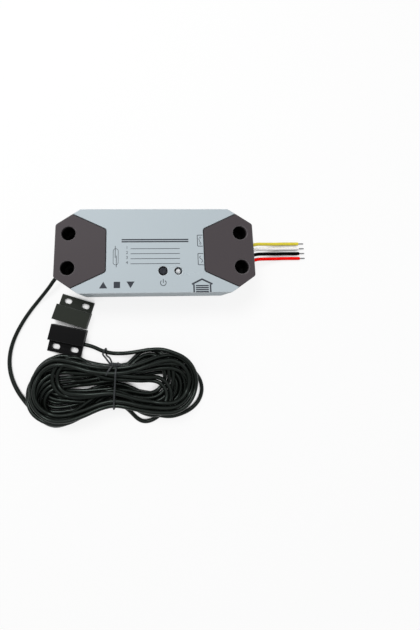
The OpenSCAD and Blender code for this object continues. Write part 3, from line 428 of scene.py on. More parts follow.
def hank_point(turn):
    """A point of the winding. Each turn starts in the middle of the front run and goes to the right."""
    layer = sum(ease((turn - end) / CLIMB_SHARE + 0.5) for end in LAYER_ENDS[1:-1])
    part = turn - math.floor(turn)
    front, back = part < RUN_SHARE or part > 1 - RUN_SHARE, abs(part - 0.5) < RUN_SHARE
    t = ((part - 1 if part > 0.5 else part) if front else 0.5 - part) / RUN_SHARE
    right = t > 0 if front or back else part < 0.5
    loops = np.array(RIGHT_LOOPS if right else LEFT_LOOPS)
    mid_x, mid_y, inner, further = (np.interp(layer, range(len(loops)), column) for column in loops.T)
    steps = np.interp(turn, LAYER_ENDS, STEPS_OUT) + max(-turn, turn - LAYER_ENDS[-1], 0) + further
    radius = inner + steps * TURN_STEP - LAST_DRAW * ease((turn - LAYER_ENDS[-1]) / LAST_SHARE)
    if front or back:
        waist = WAIST_Y + (steps - (0.5 if back else 0)) * WAIST_STEP
        draw = math.sin(math.pi / 2 * t) ** 2
        x, run = abs(t) * mid_x, waist + (radius - waist) * draw
        y = mid_y * draw + (run if back else -run)
    else:
        swept = (part - RUN_SHARE - (0 if right else 0.5)) / (0.5 - 2 * RUN_SHARE)
        angle = math.pi * (swept + (-0.5 if right else 0.5))
        stray = (STRAY_RIGHT if right else STRAY_LEFT) if STRAY_TURN < turn < STRAY_TURN + 1 else 0
        x, y = mid_x + (radius + stray) * math.cos(angle), mid_y + radius * math.sin(angle)
    if turn < BULGE_UNTIL:
        y -= BULGE * swell(x - BULGE_X, BULGE_WIDE)
    y += PULL_BACK * swell(x, PULL_WIDE)
    return Vector((HANK_AT.x + x, HANK_AT.y + y, ON_TABLE + LIFT * swell(x, LIFT_WIDE)))


PER_TURN, POINTS_BEFORE, POINTS_AFTER = 40, 3, 16
turns = [hank_point(i / PER_TURN) for i in range(-POINTS_BEFORE, PER_TURN * LAYER_ENDS[-1] + POINTS_AFTER)]
plan = smooth_route(START_ROUTE + turns + TAIL_ROUTE, 3)
print("plan of the cord:", round(line_length(plan)), "mm")

# %% [markdown]
# Now each point of the plan is laid down in the order of winding. A point lies on the table, or on an
# earlier part of the cord: where two centrelines are nearer than one diameter in plan, the later one is
# lifted until the cords just touch. A cord is too stiff to follow every dip, so a hump spreads along
# it as a shallow arch. Lifting one turn lifts the next, so the pass is repeated until it settles.

# %% Even steps along a line
SOFT_REACH = 5


def distances(line):
    """How far along the line each of its points is."""
    return np.concatenate([[0], np.cumsum(np.linalg.norm(np.diff(line, axis=0), axis=1))])


def at_distances(line, where):
    along = distances(line)
    return np.column_stack([np.interp(where, along, column) for column in line.T])


def softened(values, mode, **how):
    """Takes the small kinks out of a row of values."""
    weights = np.exp(-np.arange(-SOFT_REACH, SOFT_REACH + 1) ** 2 / 8)
    return np.convolve(np.pad(values, SOFT_REACH, mode, **how), weights / weights.sum(), "valid")


# %% Lay the cord down
def laid_down(line, spacing=1.2, hump_r=26, hump_reach=14, near=8, passes=12):
    """Lifts a line clear of itself. Points fewer than near steps apart don't lift each other."""
    line = np.array(line)
    total = distances(line)[-1]
    even = np.linspace(0, total, int(total / spacing))
    line = at_distances(line, even)
    line = np.column_stack([softened(column, "reflect", reflect_type="odd") for column in line.T])
    rest = line[:, 2].copy()
    for _ in range(passes):
        floor = rest.copy()
        for i in range(near, len(line)):
            apart = ((line[:i - near + 1, :2] - line[i, :2]) ** 2).sum(axis=1)
            under = np.flatnonzero(apart < CORD_D ** 2)
            if len(under):
                floor[i] = max(floor[i], (line[under, 2] + np.sqrt(CORD_D ** 2 - apart[under])).max())
        height = floor.copy()
        for k in range(1, int(hump_reach / spacing)):
            drop = (k * even[1]) ** 2 / (2 * hump_r)
            height[k:] = np.maximum(height[k:], floor[:-k] - drop)
            height[:-k] = np.maximum(height[:-k], floor[k:] - drop)
        line[:, 2] = softened(height, "edge")
    return [Vector(p) for p in line]


sensor_line = laid_down(plan)
sensor_cord = round_cord("sensor_cord", sensor_line, CORD_D, cord_black)
declare(sensor_cord, "housing", "cord_black", "cord_start", "cord_hank", "cord_tail")
print("sensor cord", round(line_length(sensor_line)), "mm in", len(sensor_line), "points, highest",
      round(max(p.z for p in sensor_line), 1))

# %% [markdown]
# ## Bare ends of the leads
# At each free end a few millimetres of insulation are stripped, and the conductor shows as thin tinned
# strands with a slow twist. Plated metal is cloudy and a little dull in patches, so a last group mixes
# some grey into its colour and varies its roughness. The screws and the shield use it too.

# %% Metals
metal, given, result = new_group("plated_metal", [
    ("Color", "Color", (0.6, 0.6, 0.6, 1)), ("Roughness", "Float", 0.35)], FINISH[:2])
TARNISH = (0.28, 0.28, 0.29, 1)
cloud = noise(metal, 420.0, 4.0, 0.6)
dull = mix_color(metal, calc(metal, "MULTIPLY", cloud, 0.5), given["Color"], TARNISH)
feed(metal, result, {"Color": dull, "Roughness": varied(metal, given["Roughness"], cloud, 0.3)})


def plated(name, color, roughness):
    material, _, shader = dressed(name, metal, {"Color": linear(color), "Roughness": roughness})
    shader.inputs["Metallic"].default_value = 1.0
    return material


tinned = plated("tinned_copper", (176, 176, 178), 0.38)
screw_steel = plated("zinc_plated_steel", (198, 200, 204), 0.34)
shield_tin = plated("tin_plated_sheet", (204, 204, 200), 0.3)
magnet_iron = plated("magnet_ferrite", (92, 92, 94), 0.6)
print("metals:", tinned.name, screw_steel.name, shield_tin.name, magnet_iron.name)

# %% [markdown]
# Six strands round one repeat on four leads, so Geometry Nodes make them: one spiral, six turned copies
# and a straight core, then one bundle at each lead's end. The sizes are named inputs of the tree. Each
# tree ends in real faces with their finish, and its result is kept as a plain mesh.

# %% Geometry Nodes helpers
def new_tree(name, inputs):
    ends = ("Geometry", "Geometry")
    return new_group(name, [(*ends, None), *inputs], [ends], "GeometryNodeTree")


def end_tree(tree, given, result, shape, smooth=False):
    """Puts the shape on each given point, and ends in real faces with their finish."""
    faces = out(tree, "GeometryNodeInstanceOnPoints", {"Points": given["Geometry"], "Instance": shape})
    faces = out(tree, "GeometryNodeRealizeInstances", {"Geometry": faces})
    if smooth:
        faces = out(tree, "GeometryNodeSetShadeSmooth", {"Geometry": faces})
    faces = out(tree, "GeometryNodeSetMaterial", {"Geometry": faces, "Material": given["Finish"]})
    tree.links.new(faces, result.inputs[0])


def grow(name, points, tree, values):
    """Runs a tree on bare points and keeps the result as a plain mesh."""
    base = bpy.data.meshes.new(name + "_points")
    base.from_pydata([Vector(p) * MM for p in points], [], [])
    made = link_object(name, base)
    modifier = made.modifiers.new(tree.name, "NODES")
    modifier.node_group = tree
    sockets = {s.name: s.identifier for s in tree.interface.items_tree if s.in_out == "INPUT"}
    for label, value in values.items():
        modifier[sockets[label]] = value
    graph = bpy.context.evaluated_depsgraph_get()
    mesh = bpy.data.meshes.new_from_object(
        made.evaluated_get(graph), preserve_all_data_layers=True, depsgraph=graph)
    made.modifiers.remove(modifier)
    made.data = mesh
    mesh.name = name
    print(name, len(mesh.polygons), "faces from", tree.name)
    return made


# %% Stranded ends
STRANDS, STRAND_D, BUNDLE_R, BARE_LENGTH, TWIST = 6, 0.33, 0.335, 3.8, 0.55
stranded, given, result = new_tree("stranded_ends", [
    ("Strand Diameter", "Float", STRAND_D * MM), ("Bundle Radius", "Float", BUNDLE_R * MM),
    ("Length", "Float", BARE_LENGTH * MM), ("Twist", "Float", TWIST), ("Finish", "Material", None)])
strand_r = calc(stranded, "MULTIPLY", given["Strand Diameter"], 0.5)
profile = out(stranded, "GeometryNodeCurvePrimitiveCircle", {"Resolution": 10, "Radius": strand_r})
spiral = out(stranded, "GeometryNodeCurveSpiral", {
    "Resolution": 40, "Rotations": given["Twist"], "Start Radius": given["Bundle Radius"],
    "End Radius": given["Bundle Radius"], "Height": given["Length"]})
tip = out(stranded, "ShaderNodeCombineXYZ", {"Z": given["Length"]})
straight = out(stranded, "GeometryNodeCurvePrimitiveLine", {"End": tip})
strand, core = (out(stranded, "GeometryNodeCurveToMesh", {
    "Curve": middle, "Profile Curve": profile, "Fill Caps": True}) for middle in (spiral, straight))
turn = calc(stranded, "MULTIPLY", out(stranded, "GeometryNodeInputIndex"), 2 * math.pi / STRANDS)
about_z = out(stranded, "ShaderNodeCombineXYZ", {"Z": turn})
ring = out(stranded, "GeometryNodeInstanceOnPoints", {
    "Points": out(stranded, "GeometryNodePoints", {"Count": STRANDS}), "Instance": strand,
    "Rotation": out(stranded, "FunctionNodeEulerToRotation", {0: about_z})})
bundle = add(stranded, "GeometryNodeJoinGeometry")
for strands in (ring, core):
    stranded.links.new(strands, bundle.inputs[0])
laid = out(stranded, "GeometryNodeTransform", {
    "Geometry": bundle.outputs[0], "Rotation": (0, math.pi / 2, 0)})
end_tree(stranded, given, result, laid, smooth=True)
bare_ends = grow("bare_conductor_ends", [line[-1] for _, line in leads.values()], stranded, {
    "Length": BARE_LENGTH * MM, "Twist": TWIST, "Finish": tinned})
declare(bare_ends, "housing", "tinned_metal", "lead_ends")

# %% [markdown]
# ## The wire tie
# A plastic-covered wire holds the hank at its waist. It is pulled round once, twisted on itself at the
# top, and one end goes round the strand that runs to the reed switch, while the other stays loose.
# Tubes swept along a few smooth lines give it. The twist is two lines that wind round each other.

# %% Tubes along a line
SHARP_ANGLE = math.radians(35)


def sweep(mesh, line, radius, sides=10, closed=False):
    """Adds a round tube along a line, turned as little as possible from ring to ring."""
    count = len(line)
    rings = []
    normal = None
    for i, p in enumerate(line):
        before = line[i - 1] if closed or i else line[0]
        after = line[(i + 1) % count] if closed or i < count - 1 else line[-1]
        along = (after - before).normalized()
        if normal is None:
            normal = along.orthogonal().normalized()
        normal = (normal - along * normal.dot(along)).normalized()
        other = along.cross(normal)
        rings.append([mesh.verts.new((p + radius * (math.cos(a) * normal + math.sin(a) * other)) * MM)
                      for a in (2 * math.pi * j / sides for j in range(sides))])
    pairs = list(zip(rings, rings[1:])) + ([(rings[-1], rings[0])] if closed else [])
    for one, two in pairs:
        for j in range(sides):
            mesh.faces.new((one[j], one[(j + 1) % sides], two[(j + 1) % sides], two[j]))
    if not closed:
        mesh.faces.new(list(reversed(rings[0])))
        mesh.faces.new(rings[-1])


def finished_mesh(mesh, name, material):
    bmesh.ops.recalc_face_normals(mesh, faces=mesh.faces)
    data = bpy.data.meshes.new(name)
    mesh.to_mesh(data)
    mesh.free()
    data.materials.append(material)
    data.polygons.foreach_set("use_smooth", [True] * len(data.polygons))
    data.set_sharp_from_angle(angle=SHARP_ANGLE)
    return link_object(name, data)


# %% Loop round the waist
TIE_D, TIE_GAP, TIE_SLANT, TIE_MID_Y = 1.1, 0.05, 0.05, -83
WAIST_X, WAIST_SLICE, HANK_BACK_Y = HANK_AT.x + 0.6, 0.7, -66


def tight_loop(sections, radius, count=72):
    """Shortest loop round a few circles, as evenly spaced points."""
    rim = sorted({(round(y + radius * math.cos(a), 4), round(z + radius * math.sin(a), 4))
                  for y, z in sections for a in (2 * math.pi * k / 24 for k in range(24))})
    halves = []
    for points in (rim, rim[::-1]):
        half = []
        for q in points:
            while len(half) > 1 and ((half[-1][0] - half[-2][0]) * (q[1] - half[-2][1])
                                     <= (half[-1][1] - half[-2][1]) * (q[0] - half[-2][0])):
                half.pop()
            half.append(q)
        halves += half[:-1]
    ring = np.array(halves + halves[:1])
    even = np.linspace(0, distances(ring)[-1], count, endpoint=False)
    return [Vector((0, y, z)) for y, z in at_distances(ring, even)]


sections = [(p.y, p.z) for p in sensor_line if abs(p.x - WAIST_X) < WAIST_SLICE and p.y < HANK_BACK_Y]
waist_ring = tight_loop(sections, CORD_D / 2 + TIE_D / 2 + TIE_GAP)
for p in waist_ring:
    p.x, p.z = WAIST_X + TIE_SLANT * (p.y - TIE_MID_Y), max(p.z, TIE_D / 2)
tie_mesh = bmesh.new()
sweep(tie_mesh, waist_ring, TIE_D / 2, closed=True)
print("strands in the tie:", len(sections))

# %% Twist, strand loop and loose end
WINDINGS, WINDING_R, WINDING_STEPS = 2.5, 0.62, 48
HELD_X = -31.6
knot = max(waist_ring, key=lambda p: p.y + 0.4 * p.z) + Vector((0, 0.2, 0.4))
twist_from, twist_to = knot + Vector((2.2, 0.3, 0.2)), knot + Vector((-4.2, 0.9, 0.1))
for phase in (0, math.pi):
    winding = []
    for k in range(WINDING_STEPS + 1):
        a = phase + 2 * math.pi * WINDINGS * k / WINDING_STEPS
        winding.append(twist_from.lerp(twist_to, k / WINDING_STEPS)
                       + WINDING_R * Vector((0, math.cos(a), math.sin(a))))
    sweep(tie_mesh, winding, TIE_D / 2)
held = min(sensor_line[-60:], key=lambda p: abs(p.x - HELD_X))
out_of = twist_to + Vector((0.4, 0.2, 0))
halfway = out_of.lerp(held, 0.45)
round_strand = [held + Vector(p) for p in (
    (-1.5, -1.2, 2.2), (-0.6, 0.9, 2), (0.1, 2.1, 0.2), (0.2, 1, -1.95), (0.3, -1.5, -1.3), (0.9, -2.4, 0.6))]
strand_loop = [out_of, halfway + Vector((-1.6, 0.6, 0.9)), *round_strand, halfway + Vector((1.2, 0, 0.2)),
               out_of + Vector((1.2, 0.2, -0.3))]
sweep(tie_mesh, smooth_route(strand_loop, 6), TIE_D / 2)
loose_end = [knot + Vector(p) for p in (
    (-2.4, -0.2, 0.4), (-3.6, -1.5, 1), (-4.9, -3.4, 1.3), (-6, -5.4, 1.1))]
sweep(tie_mesh, smooth_route(loose_end, 5), TIE_D / 2)
wire_tie = finished_mesh(tie_mesh, "wire_tie", tie_black)
declare(wire_tie, "housing", "tie_black", "hank_tie")
print("wire tie", len(wire_tie.data.polygons), "faces")

# %% [markdown]
# ## The moulded shells
# Injection-moulded shells have small radii on their outer edges, which catch the light as thin bright
# lines. The solid model has sharp edges there, so each visible shell is a copy of its solid: its
# triangles are merged back into flat faces, and the chosen edges are bevelled, wider at the rims of the
# screw wells. The new strips carry the mark that the plastic's finish reads: 1 on an outer edge, made
# paler as wear and a painted highlight, less on a well's rim, and -1 in the seam round an end cover,
# where it paints shade. Only small faces are shaded smooth, so the bevels look round and the large
# faces stay flat.

# %% Places of the seams and wells
FACE_Z, NEAR = 28, 0.01
WELL_RIM_R = 5.2
SEAM_CORNER, SEAM_LONG, SEAM_HALF = (30.1, 13.2), 21.2, 0.8
SEAM_COS, SEAM_SIN = 0.906, 0.423


def on_face(p):
    return p.z > FACE_Z - NEAR


def at_well(p):
    return math.hypot(abs(p.x) - WELL_AT[0], abs(p.y) - WELL_AT[1]) < WELL_RIM_R


def at_seam(p):
    """Is a point in the seam round an end cover? It runs straight across, and slants out at its corners."""
    x, y = abs(p.x) - SEAM_CORNER[0], abs(p.y) - SEAM_CORNER[1]
    slanted = abs(SEAM_COS * y - SEAM_SIN * x) < SEAM_HALF and -SEAM_HALF < x < SEAM_LONG
    return slanted or abs(x) < SEAM_HALF and y < 0.5


# %% Bevelled copies
EDGE_ANGLE = math.radians(40)
FLAT_FROM = 20
# Marks of the strips: paler edges and rims as wear and a painted highlight, and painted shade in the seam.
SEAM_SHADE_MARK, RIM_WEAR_AND_HIGHLIGHT, EDGE_WEAR_AND_HIGHLIGHT = -1, 0.4, 1


def bevelled(node, name, material, slot, *rounds):
    """A copy of a solid with round edges. Each of the rounds is a width, and a test of an edge's ends."""
    mesh = bmesh.new()
    mesh.from_mesh(nodes[node].data)
    bmesh.ops.remove_doubles(mesh, verts=mesh.verts, dist=1e-6)
    bmesh.ops.dissolve_limit(mesh, angle_limit=math.radians(1), verts=mesh.verts, edges=mesh.edges)
    wear_and_light_layer = mesh.verts.layers.float.new("wear_and_painted_light")
    strips = set()
    for width, chosen in rounds:
        picked = [e for e in mesh.edges if len(e.link_faces) == 2 and e.calc_face_angle(0) > EDGE_ANGLE
                  and all(chosen(end.co / MM) for end in e.verts)]
        strips |= set(bmesh.ops.bevel(
            mesh, geom=picked, offset=width * MM, offset_type="OFFSET", segments=3, profile=0.5,
            affect="EDGES", clamp_overlap=False, loop_slide=False)["faces"])
    # Painted shade goes into the seam, and wear with a painted highlight onto the edges and rims.
    for corner in mesh.verts:
        if all(face in strips for face in corner.link_faces):
            at = corner.co / MM
            corner[wear_and_light_layer] = SEAM_SHADE_MARK if at_seam(at) else RIM_WEAR_AND_HIGHLIGHT if at_well(at) else EDGE_WEAR_AND_HIGHLIGHT
    data = bpy.data.meshes.new(name)
    mesh.to_mesh(data)
    mesh.free()
    data.materials.append(material)
    data.set_sharp_from_angle(angle=SHARP_ANGLE)
    data.polygons.foreach_set("use_smooth", [face.area < FLAT_FROM * MM * MM for face in data.polygons])
    bodies = frame["record"]["behaviour"]["bodies"]
    declare(link_object(name, data), next(b for b, members in bodies.items() if node in members), slot, node)
    print(name, len(strips), "bevel faces of", len(data.polygons))


# %% Shells, blocks and grommets
FLANGE_TOP, GROMMET_END = 2.1, 61.9
block_round = (0.25, lambda p: p.z > FLANGE_TOP)
cover_rounds = ((0.7, lambda p: on_face(p) and at_well(p)), (0.3, lambda p: on_face(p) and not at_well(p)))
bevelled("face_cover", "housing_face", housing_grey, "housing_grey", (0.35, on_face))
bevelled("base_shell", "housing_base", housing_grey, "housing_grey", (0.4, lambda p: p.z < NEAR))
bevelled("left_end_cover", "left_cover", cover_brown, "cover_brown", *cover_rounds)
bevelled("right_end_cover", "right_cover", cover_brown, "cover_brown", *cover_rounds)
bevelled("reed_case", "reed_block", reed_black, "reed_black", block_round)
bevelled("magnet_case", "magnet_block", magnet_grey, "magnet_grey", block_round)
bevelled("lead_grommet", "lead_bush", grommet_rubber, "grommet_rubber", (0.25, lambda p: p.x > GROMMET_END))
bevelled("cord_grommet", "cord_bush", grommet_rubber, "grommet_rubber", (0.25, lambda p: p.x < -GROMMET_END))

# %% [markdown]
# ## Button and indicator lamp
# Both are round, so a lathe is the shortest way: a half profile of radius and height pairs is turned about
# the piece's own axis. The button's cap has a rounded top edge and a slight dish for the finger. Round it
# lies a thin near-black ring, which is painted shade: it stands for the shadow in the gap round the cap.
# The lamp is a clear moulded dome with a pale reflector cup inside.

# %% Lathe
def lathe(name, axis, profile, material, steps=40):
    mesh = bmesh.new()
    x, y = axis
    rings = []
    for radius, z in profile:
        angles = [2 * math.pi * k / steps for k in range(steps if radius else 1)]
        rings.append([mesh.verts.new(Vector((x + radius * math.cos(a), y + radius * math.sin(a), z)) * MM)
                      for a in angles])
    pairs = list(zip(rings, rings[1:]))
    if len(rings[0]) > 1:
        pairs.append((rings[-1], rings[0]))
    for one, two in pairs:
        for k in range(steps):
            corners = [one[k % len(one)], one[(k + 1) % len(one)], two[(k + 1) % len(two)], two[k % len(two)]]
            mesh.faces.new(list(dict.fromkeys(corners)))
    return finished_mesh(mesh, name, material)


def arc(middle_r, middle_z, radius, start, end, count=6):
    angles = [math.radians(start + (end - start) * k / count) for k in range(count + 1)]
    return [(max(middle_r + radius * math.cos(a), 0), middle_z + radius * math.sin(a)) for a in angles]


# %% Button and its ring of painted shade
BUTTON_AT, LAMP_AT = (4.6, -12.9), (13.9, -13)
button_profile = [(0, 15.5), (1.75, 15.5), (1.75, 13.5), (2.15, 13.5), (2.15, 19.5), (3.05, 19.5),
                  (3.05, 20.7), (2.15, 20.7), *arc(1.75, 27.3, 0.4, 0, 90),
                  (1.2, 27.66), (0.6, 27.6), (0, 27.58)]
push_button = lathe("push_button", BUTTON_AT, button_profile, button_black)
declare(push_button, "button", "button_black", "button_cap")
# Painted shade: a near-black ring in the gap round the button cap.
shade_ring_profile = [(2.3, 26.92), (2.78, 26.92)] + arc(2.54, 27.5, 0.24, 0, 180, 8)
shade_ring = lathe("button_shade_ring", BUTTON_AT, shade_ring_profile, shade_ring_black)
declare(shade_ring, "housing", "button_black")
print("button", len(push_button.data.polygons), "faces, gasket", len(shade_ring.data.polygons))

# %% Indicator lamp
def clear_glass(name, color, roughness, ior, clear=1.0):
    material, tree, shader = new_material(name)
    smear = calc(tree, "MULTIPLY", noise(tree, 700.0), 0.08)
    feed(tree, shader, {
        "Base Color": color, "Roughness": calc(tree, "ADD", roughness, smear), "IOR": ior,
        "Transmission Weight": clear})
    return material


lens_clear = clear_glass("lens_clear_epoxy", (0.94, 0.95, 0.97, 1), 0.08, 1.5, 0.3)
cup_white = plastic("lamp_cup_white", (235, 236, 232), 0.4, 2000, 0.03, 0, 0.02, 0.4)
lens_profile = [(0, 22.7), (1.9, 22.7), (1.9, 23.6), (1.8, 23.7), (1.5, 23.7)] + arc(0, 26.2, 1.5, 0, 90, 10)
lamp_dome = lathe("lamp_dome", LAMP_AT, lens_profile, lens_clear)
declare(lamp_dome, "housing", "lens_clear", "indicator_lens")
cup_profile = [(0, 24.2), (1.1, 24.2), (1.2, 25.6), (1.05, 25.7), (0.45, 24.9), (0, 24.9)]
lamp_cup = lathe("lamp_cup", LAMP_AT, cup_profile, cup_white)
declare(lamp_cup, "housing", "lens_clear")
print("lamp", len(lamp_dome.data.polygons), "faces, cup", len(lamp_cup.data.polygons))

# %% [markdown]
# ## Print on the face
# The face carries a dark print with plain signs only: two brackets that show which leads belong together,
# with an open contact for one pair and a wave for the other, a reed contact beside the sensor
# cord, a power sign below the button, arrows for up, stop and down, a door, and numbered lines to
# write on. Ink is a thin raised layer, so each sign is a flat plate, two hundredths of a millimetre thick.

# %% Plates and strokes
INK_T = 0.02


def plate(mesh, outline):
    low, high = ([mesh.verts.new(Vector((x, y, z)) * MM) for x, y in outline]
                 for z in (FACE_Z, FACE_Z + INK_T))
    mesh.faces.new(low[::-1])
    mesh.faces.new(high)
    for k in range(len(low)):
        mesh.faces.new((low[k - 1], low[k], high[k], high[k - 1]))


def stroke(mesh, line, width):
    """One plate along a line, with its corners mitred."""
    line = [Vector(p) for p in line]
    left, right = [], []
    for k, p in enumerate(line):
        before, after = line[max(k - 1, 0)], line[min(k + 1, len(line) - 1)]
        one = (p - before).normalized() if k else (after - p).normalized()
        two = (after - p).normalized() if k < len(line) - 1 else one
        across = (one + two).normalized().orthogonal()
        across *= width / 2 / max(across.dot(one.orthogonal()), 0.4)
        left.append(p + across)
        right.append(p - across)
    plate(mesh, right + left[::-1])


def circle(x, y, radius, start=0, end=360, count=28):
    angles = [math.radians(start + (end - start) * k / count) for k in range(count + 1)]
    return [(x + radius * math.cos(a), y + radius * math.sin(a)) for a in angles]


# %% Signs of the leads and the reed switch
BRACKET = ((29.4, 3.5), (26.4, 3.5), (26.1, 3.2), (26.1, -3.2), (26.4, -3.5), (29.4, -3.5))
signs = bmesh.new()
for y in (5.7, -5.9):
    stroke(signs, [(x, y + up) for x, up in BRACKET], 0.4)
for y in (7.6, 3.8):
    stroke(signs, circle(27.9, y, 0.45), 0.22)
stroke(signs, [(27.9, 4.3), (26.9, 7)], 0.3)
stroke(signs, [(28 + 0.9 * math.sin(a / 2), -5.9 + 0.34 * (a - 6)) for a in range(13)], 0.32)
capsule = circle(-24, -0.6, 1.5, 0, 180, 16) + circle(-24, -7.6, 1.5, 180, 360, 16)
stroke(signs, capsule + capsule[:1], 0.28)
stroke(signs, [(-24.3, 2.6), (-24.3, -4.8)], 0.36)
stroke(signs, [(-23.6, -3.4), (-23.6, -10.6)], 0.36)
print("signs so far", len(signs.faces), "faces")

# %% Signs of power, travel and the door
stroke(signs, circle(4.6, -20.2, 1.7, 130, 410), 0.42)
stroke(signs, [(4.6, -17.9), (4.6, -20.3)], 0.42)
plate(signs, [(-33.6, -23.2), (-28.8, -23.2), (-31.2, -19.2)])
plate(signs, [(-25, -23.1), (-21.2, -23.1), (-21.2, -19.3), (-25, -19.3)])
plate(signs, [(-12.6, -19.2), (-17.4, -19.2), (-15, -23.2)])
stroke(signs, [(21.8, -21.2), (28, -18.2), (34.2, -21.2)], 1.0)
for x in (23, 33):
    stroke(signs, [(x, -26), (x, -21.3)], 0.9)
face_signs = finished_mesh(signs, "face_signs", print_ink)
declare(face_signs, "housing", "button_black")
print("signs", len(face_signs.data.polygons), "faces")

# %% [markdown]
# The lines to write on, the heading above them and the door's slats are the same bar again and again, so
# Geometry Nodes repeat it: a column of points, a thin box on each, and named inputs for the number, the
# step and the size.

# %% Ruled lines
INK_Z = FACE_Z + INK_T / 2
ROW_STEP = 3.1
ruled, given, result = new_tree("ruled_lines", [
    ("Rows", "Int", 4), ("Row Step", "Float", ROW_STEP * MM), ("Length", "Float", 30 * MM),
    ("Width", "Float", 0.35 * MM), ("Thickness", "Float", INK_T * MM), ("Finish", "Material", None)])
down = calc(ruled, "MULTIPLY", given["Row Step"], -1.0)
rows = out(ruled, "GeometryNodeMeshLine", {
    "Count": given["Rows"], "Offset": out(ruled, "ShaderNodeCombineXYZ", {"Y": down})})
size = out(ruled, "ShaderNodeCombineXYZ", {
    "X": given["Length"], "Y": given["Width"], "Z": given["Thickness"]})
bar = out(ruled, "GeometryNodeMeshCube", {"Size": size})
end_tree(ruled, given, result, out(ruled, "GeometryNodeInstanceOnPoints", {"Points": rows, "Instance": bar}))
# first line's middle, number of lines, step, length and width
RULED = {
    "writing_lines": ((0, 0.8, INK_Z), 4, ROW_STEP, 30, 0.35),
    "heading_line": ((0, 6.5, INK_Z), 2, 1.3, 41, 0.8),
    "door_slats": ((28, -22.1, INK_Z), 4, 1.2, 7.8, 0.75),
}
for name, (first, count, step, length, width) in RULED.items():
    lines = grow(name, [first], ruled, {
        "Rows": count, "Row Step": step * MM, "Length": length * MM, "Width": width * MM,
        "Thickness": INK_T * MM, "Finish": print_ink})
    declare(lines, "housing", "button_black")

# %% [markdown]
# The numbers before the lines are Blender's own plain text. A text object is a flat curve, so it is turned
# into a mesh, given its thickness and moved to its place, and then it is a plain piece like the others.

# %% Numbers
DIGIT_AT, DIGIT_SIZE = (-17.2, 0.7), 2.6
digits = bmesh.new()
for k in range(4):
    text = bpy.data.curves.new("digit", "FONT")
    text.body, text.size, text.align_x, text.extrude = str(k + 1), DIGIT_SIZE, "CENTER", INK_T / 2
    shown = link_object("digit", text)
    flat = bpy.data.meshes.new_from_object(shown.evaluated_get(bpy.context.evaluated_depsgraph_get()))
    place = Vector((DIGIT_AT[0], DIGIT_AT[1] - ROW_STEP * k, INK_Z)) * MM
    flat.transform(Matrix.Translation(place) @ Matrix.Scale(MM, 4))
    digits.from_mesh(flat)
    bpy.data.objects.remove(shown)
bmesh.ops.remove_doubles(digits, verts=digits.verts, dist=1e-7)
line_numbers = finished_mesh(digits, "line_numbers", print_ink)
declare(line_numbers, "housing", "button_black")
print("numbers", len(line_numbers.data.polygons), "faces")

# %% [markdown]
# ## Pieces inside, and small pieces that keep their solid shape
# The boards and what stands on them can't be seen with the box shut, but the parts come apart in a library,
# so each has its own finish. The boards get a faint pattern of copper lines under their lacquer.

# %% Boards and inner pieces
def board_lacquer(name, color, line_color):
    material, tree, shader = new_material(name)
    cells = add(tree, "ShaderNodeTexVoronoi", {"Vector": object_place(tree), "Scale": 330.0},
                feature="DISTANCE_TO_EDGE").outputs["Distance"]
    lines = calc(tree, "LESS_THAN", cells, 0.06)
    feed(tree, shader, {
        "Base Color": mix_color(tree, lines, linear(color), linear(line_color)), "Roughness": 0.35})
    return material


finishes = {
    "circuit_board": board_lacquer("board_lacquer", (30, 92, 58), (58, 120, 78)),
    "radio_board": board_lacquer("radio_lacquer", (26, 46, 84), (60, 84, 120)),
    "reed_capsule": clear_glass("capsule_glass", (0.7, 0.85, 0.76, 1), 0.02, 1.48),
    "sensor_cores": lead_colors["white_lead"], "lamp_spacer": chip_black, "tact_switch": chip_black,
    "tact_plunger": button_black, "regulator_chip": chip_black, "relay": relay_blue,
    "power_inductor": ferrite_grey, "capacitors": sleeve_navy, "power_terminal": terminal_green,
    "output_terminal": terminal_green, "sensor_terminal": terminal_green, "reed_potting": potting_black,
    "magnet_back": potting_black, "bar_magnet": magnet_iron, "case_screws": screw_steel,
    "board_screws": screw_steel, "terminal_screws": screw_steel, "radio_shield": shield_tin,
    "lamp_legs": tinned, "reed_blades": tinned,
}
for node, material in finishes.items():
    nodes[node].data.materials.clear()
    nodes[node].data.materials.append(material)
print("finished solids:", len(finishes))

# %% [markdown]
# ## Floor and light
# The object lies on a plain white table under broad soft light. The floor is white for the camera and for
# reflections, through the Light Path node, with a share left to the real light so that the shadow
# stays. In narrow gaps between the cord's turns, found by ambient occlusion, it is only a plain surface,
# so nothing shines up through them. Under the screw wells it is a plain surface too, with a near-black
# disc painted on as shadow. The sky is white at the horizon and dimmer overhead, as in a studio, so that
# black plastic stays black.

# %% Floor
TABLE_HALF, TABLE_DROP, WHITE_SHARE = 9, 0.1, 0.85
floor_mesh = bpy.data.meshes.new("table_top")
floor_mesh.from_pydata([(x * TABLE_HALF, y * TABLE_HALF, 0) for x, y in ((-1, -1), (1, -1), (1, 1), (-1, 1))],
                       [], [(0, 1, 2, 3)])
table_top = link_object("table_top", floor_mesh)
table_top.location.z = -TABLE_DROP * MM
material, tree, shader = new_material("table_white")
path = add(tree, "ShaderNodeLightPath").outputs
seen = calc(tree, "MAXIMUM", path["Is Glossy Ray"], path["Is Transmission Ray"])
seen = calc(tree, "MAXIMUM", path["Is Camera Ray"], seen)
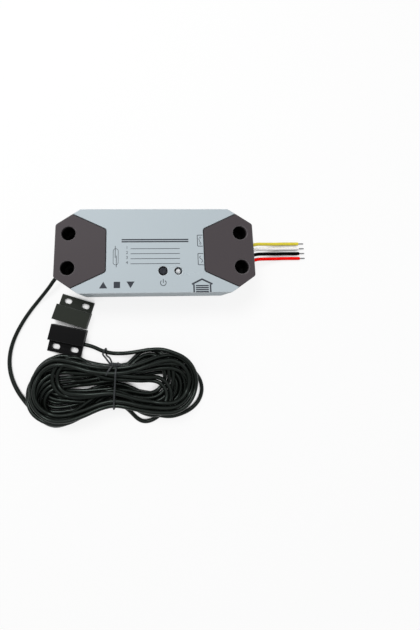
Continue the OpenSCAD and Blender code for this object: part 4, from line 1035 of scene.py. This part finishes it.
# Painted shadow: a near-black disc on the floor under each screw well.
well_floor_shadow = out(tree, "ShaderNodeGroup", {"Radius": 4 * MM, "Rim": 2 * MM, "Fade": 1 * MM}, node_tree=well_shade_depth)
top = mix_color(tree, seen, (0.45, 0.45, 0.45, 1), (0.95, 0.95, 0.95, 1))
feed(tree, shader, {
    "Base Color": mix_color(tree, well_floor_shadow, top, (0.002, 0.002, 0.002, 1)), "Roughness": 0.9,
    "Specular IOR Level": 0.0})
shut_in = add(tree, "ShaderNodeAmbientOcclusion", {"Distance": 8 * MM}, samples=8).outputs["AO"]
open_part = out(tree, "ShaderNodeMapRange", {"Value": shut_in, "From Min": 0.25, "From Max": 0.5})
open_part = calc(tree, "MULTIPLY", open_part, calc(tree, "SUBTRACT", 1.0, well_floor_shadow))
share = calc(tree, "MULTIPLY", calc(tree, "MULTIPLY", seen, WHITE_SHARE), open_part)
white = out(tree, "ShaderNodeEmission", {"Strength": 1.0})
blend = out(tree, "ShaderNodeMixShader", {0: share, 1: shader.outputs[0], 2: white})
feed(tree, tree.nodes["Material Output"], {"Surface": blend})
floor_mesh.materials.append(material)
print("floor", 2 * TABLE_HALF, "m wide")

# %% Sky
world = bpy.data.worlds.new("studio")
scene.world = world
world.use_nodes = True
tree = world.node_tree
up = add(tree, "ShaderNodeSeparateXYZ", {0: add(tree, "ShaderNodeTexCoord").outputs["Generated"]})
level = out(tree, "ShaderNodeMapRange", {
    "Value": up.outputs["Z"], "From Min": 0.1, "From Max": 0.5, "To Min": 1.0, "To Max": 0.36},
    interpolation_type="SMOOTHSTEP")
feed(tree, tree.nodes["Background"], {"Color": (1, 1, 1, 1), "Strength": level})
print("sky:", world.name)

# %% Lamps
LAMPS_AIM = Vector((-0.01, -0.04, 0))


def soft_lamp(name, place, size, power):
    data = bpy.data.lights.new(name, "AREA")
    data.size = size
    data.energy = power
    lamp = link_object(name, data)
    lamp.location = place
    lamp.rotation_euler = (LAMPS_AIM - Vector(place)).to_track_quat("-Z", "Y").to_euler()


soft_lamp("key_lamp", (-0.26, 0.3, 0.72), 0.3, 3.75)
soft_lamp("fill_lamp", (0.45, 0.1, 0.8), 0.5, 0.9)
scene.view_settings.view_transform = "Standard"
